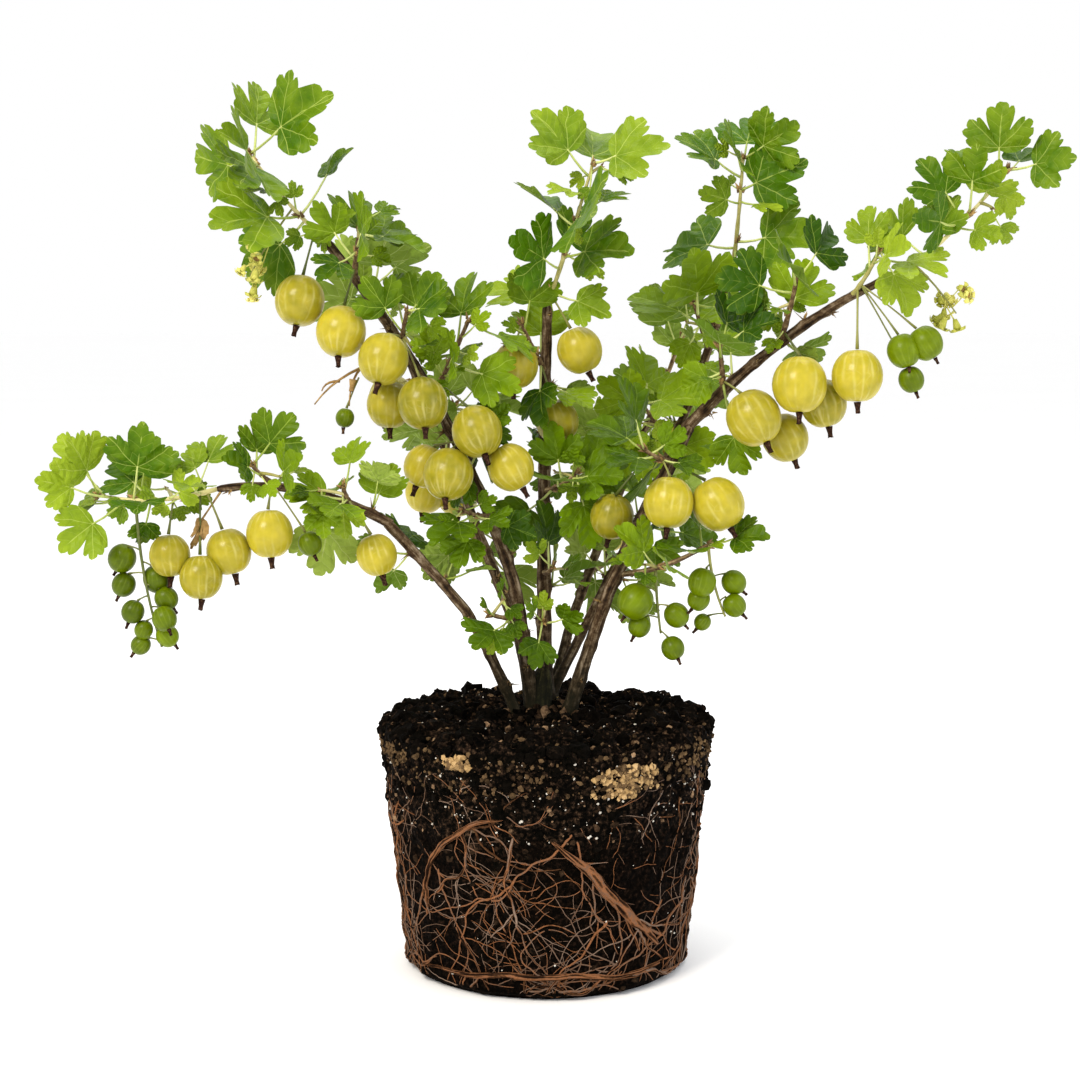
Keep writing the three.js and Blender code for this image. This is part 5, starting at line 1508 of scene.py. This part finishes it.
def addKnobbly(places, radii, seed, tone, sides, palest=1.0):
    path = onWall(places, radii)
    step = np.linalg.norm(path[-1] - path[0]) / len(path)
    rings = tubePoints(path, radii, sides).reshape(len(path), sides, 3)
    tones = np.empty(rings.shape[:2])
    for i, (ring, centre) in enumerate(zip(rings, path)):
        for j in range(sides):
            turn = j / sides * math.tau + i * step * knobs["twist"]
            x, y = math.cos(turn) * knobs["grooves"], math.sin(turn) * knobs["grooves"]
            groove = noise.noise(Vector((x, y, i * step / knobs["grooveLength"] + seed)))
            relief = 1 + knobs["groove"] * groove + knobs["knob"] * noise.noise(Vector(ring[j] / knobs["knobSize"]))
            ring[j] = centre + (ring[j] - centre) * relief
            # darker where the skin sinks and paler where it stands out: partly the root's own furrows, partly painted
            # shade and painted highlight
            tones[i, j] = min(palest, max(0, tone + knobs["grooveTone"] * groove))
    addShape(rootPile, tubeShape(len(path), sides), rings.reshape(-1, 3), tones.ravel())


# The thinner roots find their way over the wall, step by step, and branch.
rootWalk = {
    "step": 2.4, "bend": 5, "wander": 34, "branch": 0.15, "top": 118, "thinnest": 0.16,
    "kinds": {
        "main": dict(count=31, radius=(0.5, 1.15), length=(50, 120), height=(30, 104), way=(-165, -15), order=2),
        "fine": dict(count=52, radius=(0.2, 0.36), length=(14, 44), height=(8, 104), way=(-180, 180), order=1),
        "steep": dict(count=105, radius=(0.2, 0.45), length=(24, 70), height=(30, 112), way=(-102, -78), order=0),
        "upper": dict(count=44, radius=(0.16, 0.36), length=(14, 46), height=(92, 117), way=(-60, 40), order=1),
    },
    "circling": dict(count=26, radius=(0.4, 1.1), length=(30, 100), height=(4, 17), way=(-12, 12)),
}


def walkRoot(turn, z, way, radius, length, order):  # 90 is upwards
    places, gone, drift = [], 0, (grain() - 0.5) * rootWalk["bend"]
    while gone < length and 2 + radius < z < rootWalk["top"]:
        places.append((turn, z))
        if order and len(places) > 2 and grain() < rootWalk["branch"]:
            side = 1 if grain() < 0.5 else -1
            walkRoot(turn, z, way + side * mix(28, 62, grain()), radius * mix(0.4, 0.65, grain()),
                     length * mix(0.3, 0.6, grain()), order - 1)
            way -= side * mix(6, 24, grain())  # and it turns away from its branch
        way += drift + (grain() - 0.5) * rootWalk["wander"]
        turn += math.cos(math.radians(way)) * rootWalk["step"] / wallRadius(z)
        z += math.sin(math.radians(way)) * rootWalk["step"]
        gone += rootWalk["step"]
    if len(places) > 3:
        tone = mix(0.35, 0.75, grain()) if radius > 0.6 else mix(0.5, 1, grain())
        radii = np.linspace(radius, max(rootWalk["thinnest"], radius * 0.4), len(places))
        if radius > knobs["from"]:
            addKnobbly(places, radii, grain() * 50, tone, 8)
        else:
            addTube(rootPile, onWall(places, radii), radii, 5 if radius > 0.5 else 4, tone)


for kind, row in rootWalk["kinds"].items():
    for k in range(row["count"]):
        turn = grain() * math.tau
        if kind == "steep":  # thickest to the left and right
            turn = (0 if grain() < 0.5 else math.pi) + (grain() + grain() - 1) * 0.9
        walkRoot(turn, mix(*row["height"], grain()), mix(*row["way"], grain()), mix(*row["radius"], grain() ** 2),
                 mix(*row["length"], grain()), row["order"])

for root in thickRoots:
    bend, tone = grain() * fullTurn, mix(0.5, 0.58, grain())
    palest = tone + knobs["pale"]

    def placeOn(t, aside=0.0):
        sway = root["wander"] * math.sin(t * 5 + bend) * math.sin(math.pi * t) + 0.5 * math.sin(t * 23 + bend)
        out, down = (math.sin(t * math.pi / 2), 1 - math.cos(t * math.pi / 2)) if root.get("arch") else (t, t)
        return math.radians(mix(*root["angle"], out)) + aside / 85, mix(*root["height"], down) + sway + aside * 0.6

    along = np.linspace(0, 1, knobs["stations"])
    swell = np.interp(along, *zip(*knobs["swell"])) * root["radius"]
    addKnobbly([placeOn(t) for t in along], swell, root["seed"], tone, knobs["sides"], palest)
    for side in (-1, 1):  # a branch leaves on each side
        start, long = knobs["fork"] + side * 0.1, knobs["forkLength"]
        part = np.linspace(start, min(1, start + long), knobs["forkStations"])
        places = [placeOn(t, side * root["radius"] * knobs["forkAside"] * ((t - start) / long) ** 1.2) for t in part]
        radii = np.linspace(*knobs["forkWidth"], len(part)) * root["radius"]
        addKnobbly(places, radii, root["seed"] + side, tone, knobs["forkSides"], palest)
    for k in range(knobs["branches"]):
        walkRoot(*placeOn(mix(0.1, 0.9, grain())), mix(-170, -10, grain()), mix(0.5, 1.0, grain()), mix(20, 60, grain()), 1)
row = rootWalk["circling"]
for k in range(row["count"]):  # more roots circle the foot of the wall
    way = mix(*row["way"], grain()) + (180 if grain() < 0.5 else 0)
    walkRoot(grain() * math.tau, mix(*row["height"], grain()), way, mix(*row["radius"], grain()),
             mix(*row["length"], grain()), 1)

pilePiece("compost_crumbs", crumbPile, [crumb], smooth=False)
pilePiece("perlite_grains", perlitePile, [perlite])
pilePiece("clay_lumps", lumpPile, [lump], smooth=False)
pilePiece("root_web", rootPile, [rootSkin])
print("root ball made")


# A plain pale floor, soft studio light and the camera. Each lamp has a size, a colour, a place and
# a power.
studio = {
    "floor": ("#fefefe", "#ffffff"), "floorHalf": 60, "world": "#ffffff", "worldStrength": 1.0, "aim": (0, 0, 0.25),
    "lamps": {
        "key": (0.75, "#fff6e8", (-0.9, -1.3, 1.5), 33),
        "fill": (1.4, "#f4f6ff", (1.6, -1.1, 0.9), 10),
        "top": (1.2, "#ffffff", (0.2, 0.5, 1.8), 12),
    },
}
bm = bmesh.new()
bmesh.ops.create_grid(bm, x_segments=1, y_segments=1, size=studio["floorHalf"])
mesh = meshOf(bm, "floor")
floor = bpy.data.objects.new("floor", mesh)
bpy.context.scene.collection.objects.link(floor)
floorMaterial = newMaterial("painted floor")
place = addNode(floorMaterial, "TexCoord", out="Object")
cloud = addNode(floorMaterial, "TexNoise", {"Vector": place, "Scale": 1.5, "Detail": 2.0})
shade = addNode(floorMaterial, "ValToRGB", (cloud,), stops=[(0.3, studio["floor"][0]), (0.7, studio["floor"][1])])
addNode(floorMaterial, "OutputMaterial", (addNode(floorMaterial, "BsdfPrincipled", {"Base Color": shade, "Roughness": 0.8}),))
mesh.materials.append(floorMaterial)
floor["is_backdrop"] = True

for name, (size, colour, place, power) in studio["lamps"].items():
    data = bpy.data.lights.new(name, "AREA")
    data.size, data.energy, data.color = size, power, hexColour(colour)[:3]
    lamp = bpy.data.objects.new(name, data)
    lamp.location = place
    lamp.rotation_euler = (Vector(studio["aim"]) - lamp.location).to_track_quat("-Z", "Y").to_euler()
    bpy.context.scene.collection.objects.link(lamp)

world = bpy.data.worlds.new("studio air")
world.use_nodes = True
bpy.context.scene.world = world
backdrop = world.node_tree.nodes["Background"]
backdrop.inputs["Color"].default_value = hexColour(studio["world"])
backdrop.inputs["Strength"].default_value = studio["worldStrength"]
bpy.context.scene.view_settings.view_transform = "Standard"

eye = bpy.data.cameras.new("camera")
eye.lens, eye.sensor_width = camera["lens"], camera["sensor"]
eye.clip_start, eye.clip_end = 0.05, 200
cameraObject = bpy.data.objects.new("camera", eye)
cameraObject.location = array(camera["place"]) * mm
cameraObject.rotation_euler = (math.radians(90 - camera["pitch"]), 0, 0)
bpy.context.scene.collection.objects.link(cameraObject)
bpy.context.scene.camera = cameraObject

low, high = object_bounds()
{"cad": [list(cadLow), list(cadHigh)], "visual": [list(low), list(high)]}
print("bounds", [round(v / mm, 1) for v in (*cadLow, *cadHigh)], [round(v / mm, 1) for v in (*low, *high)])
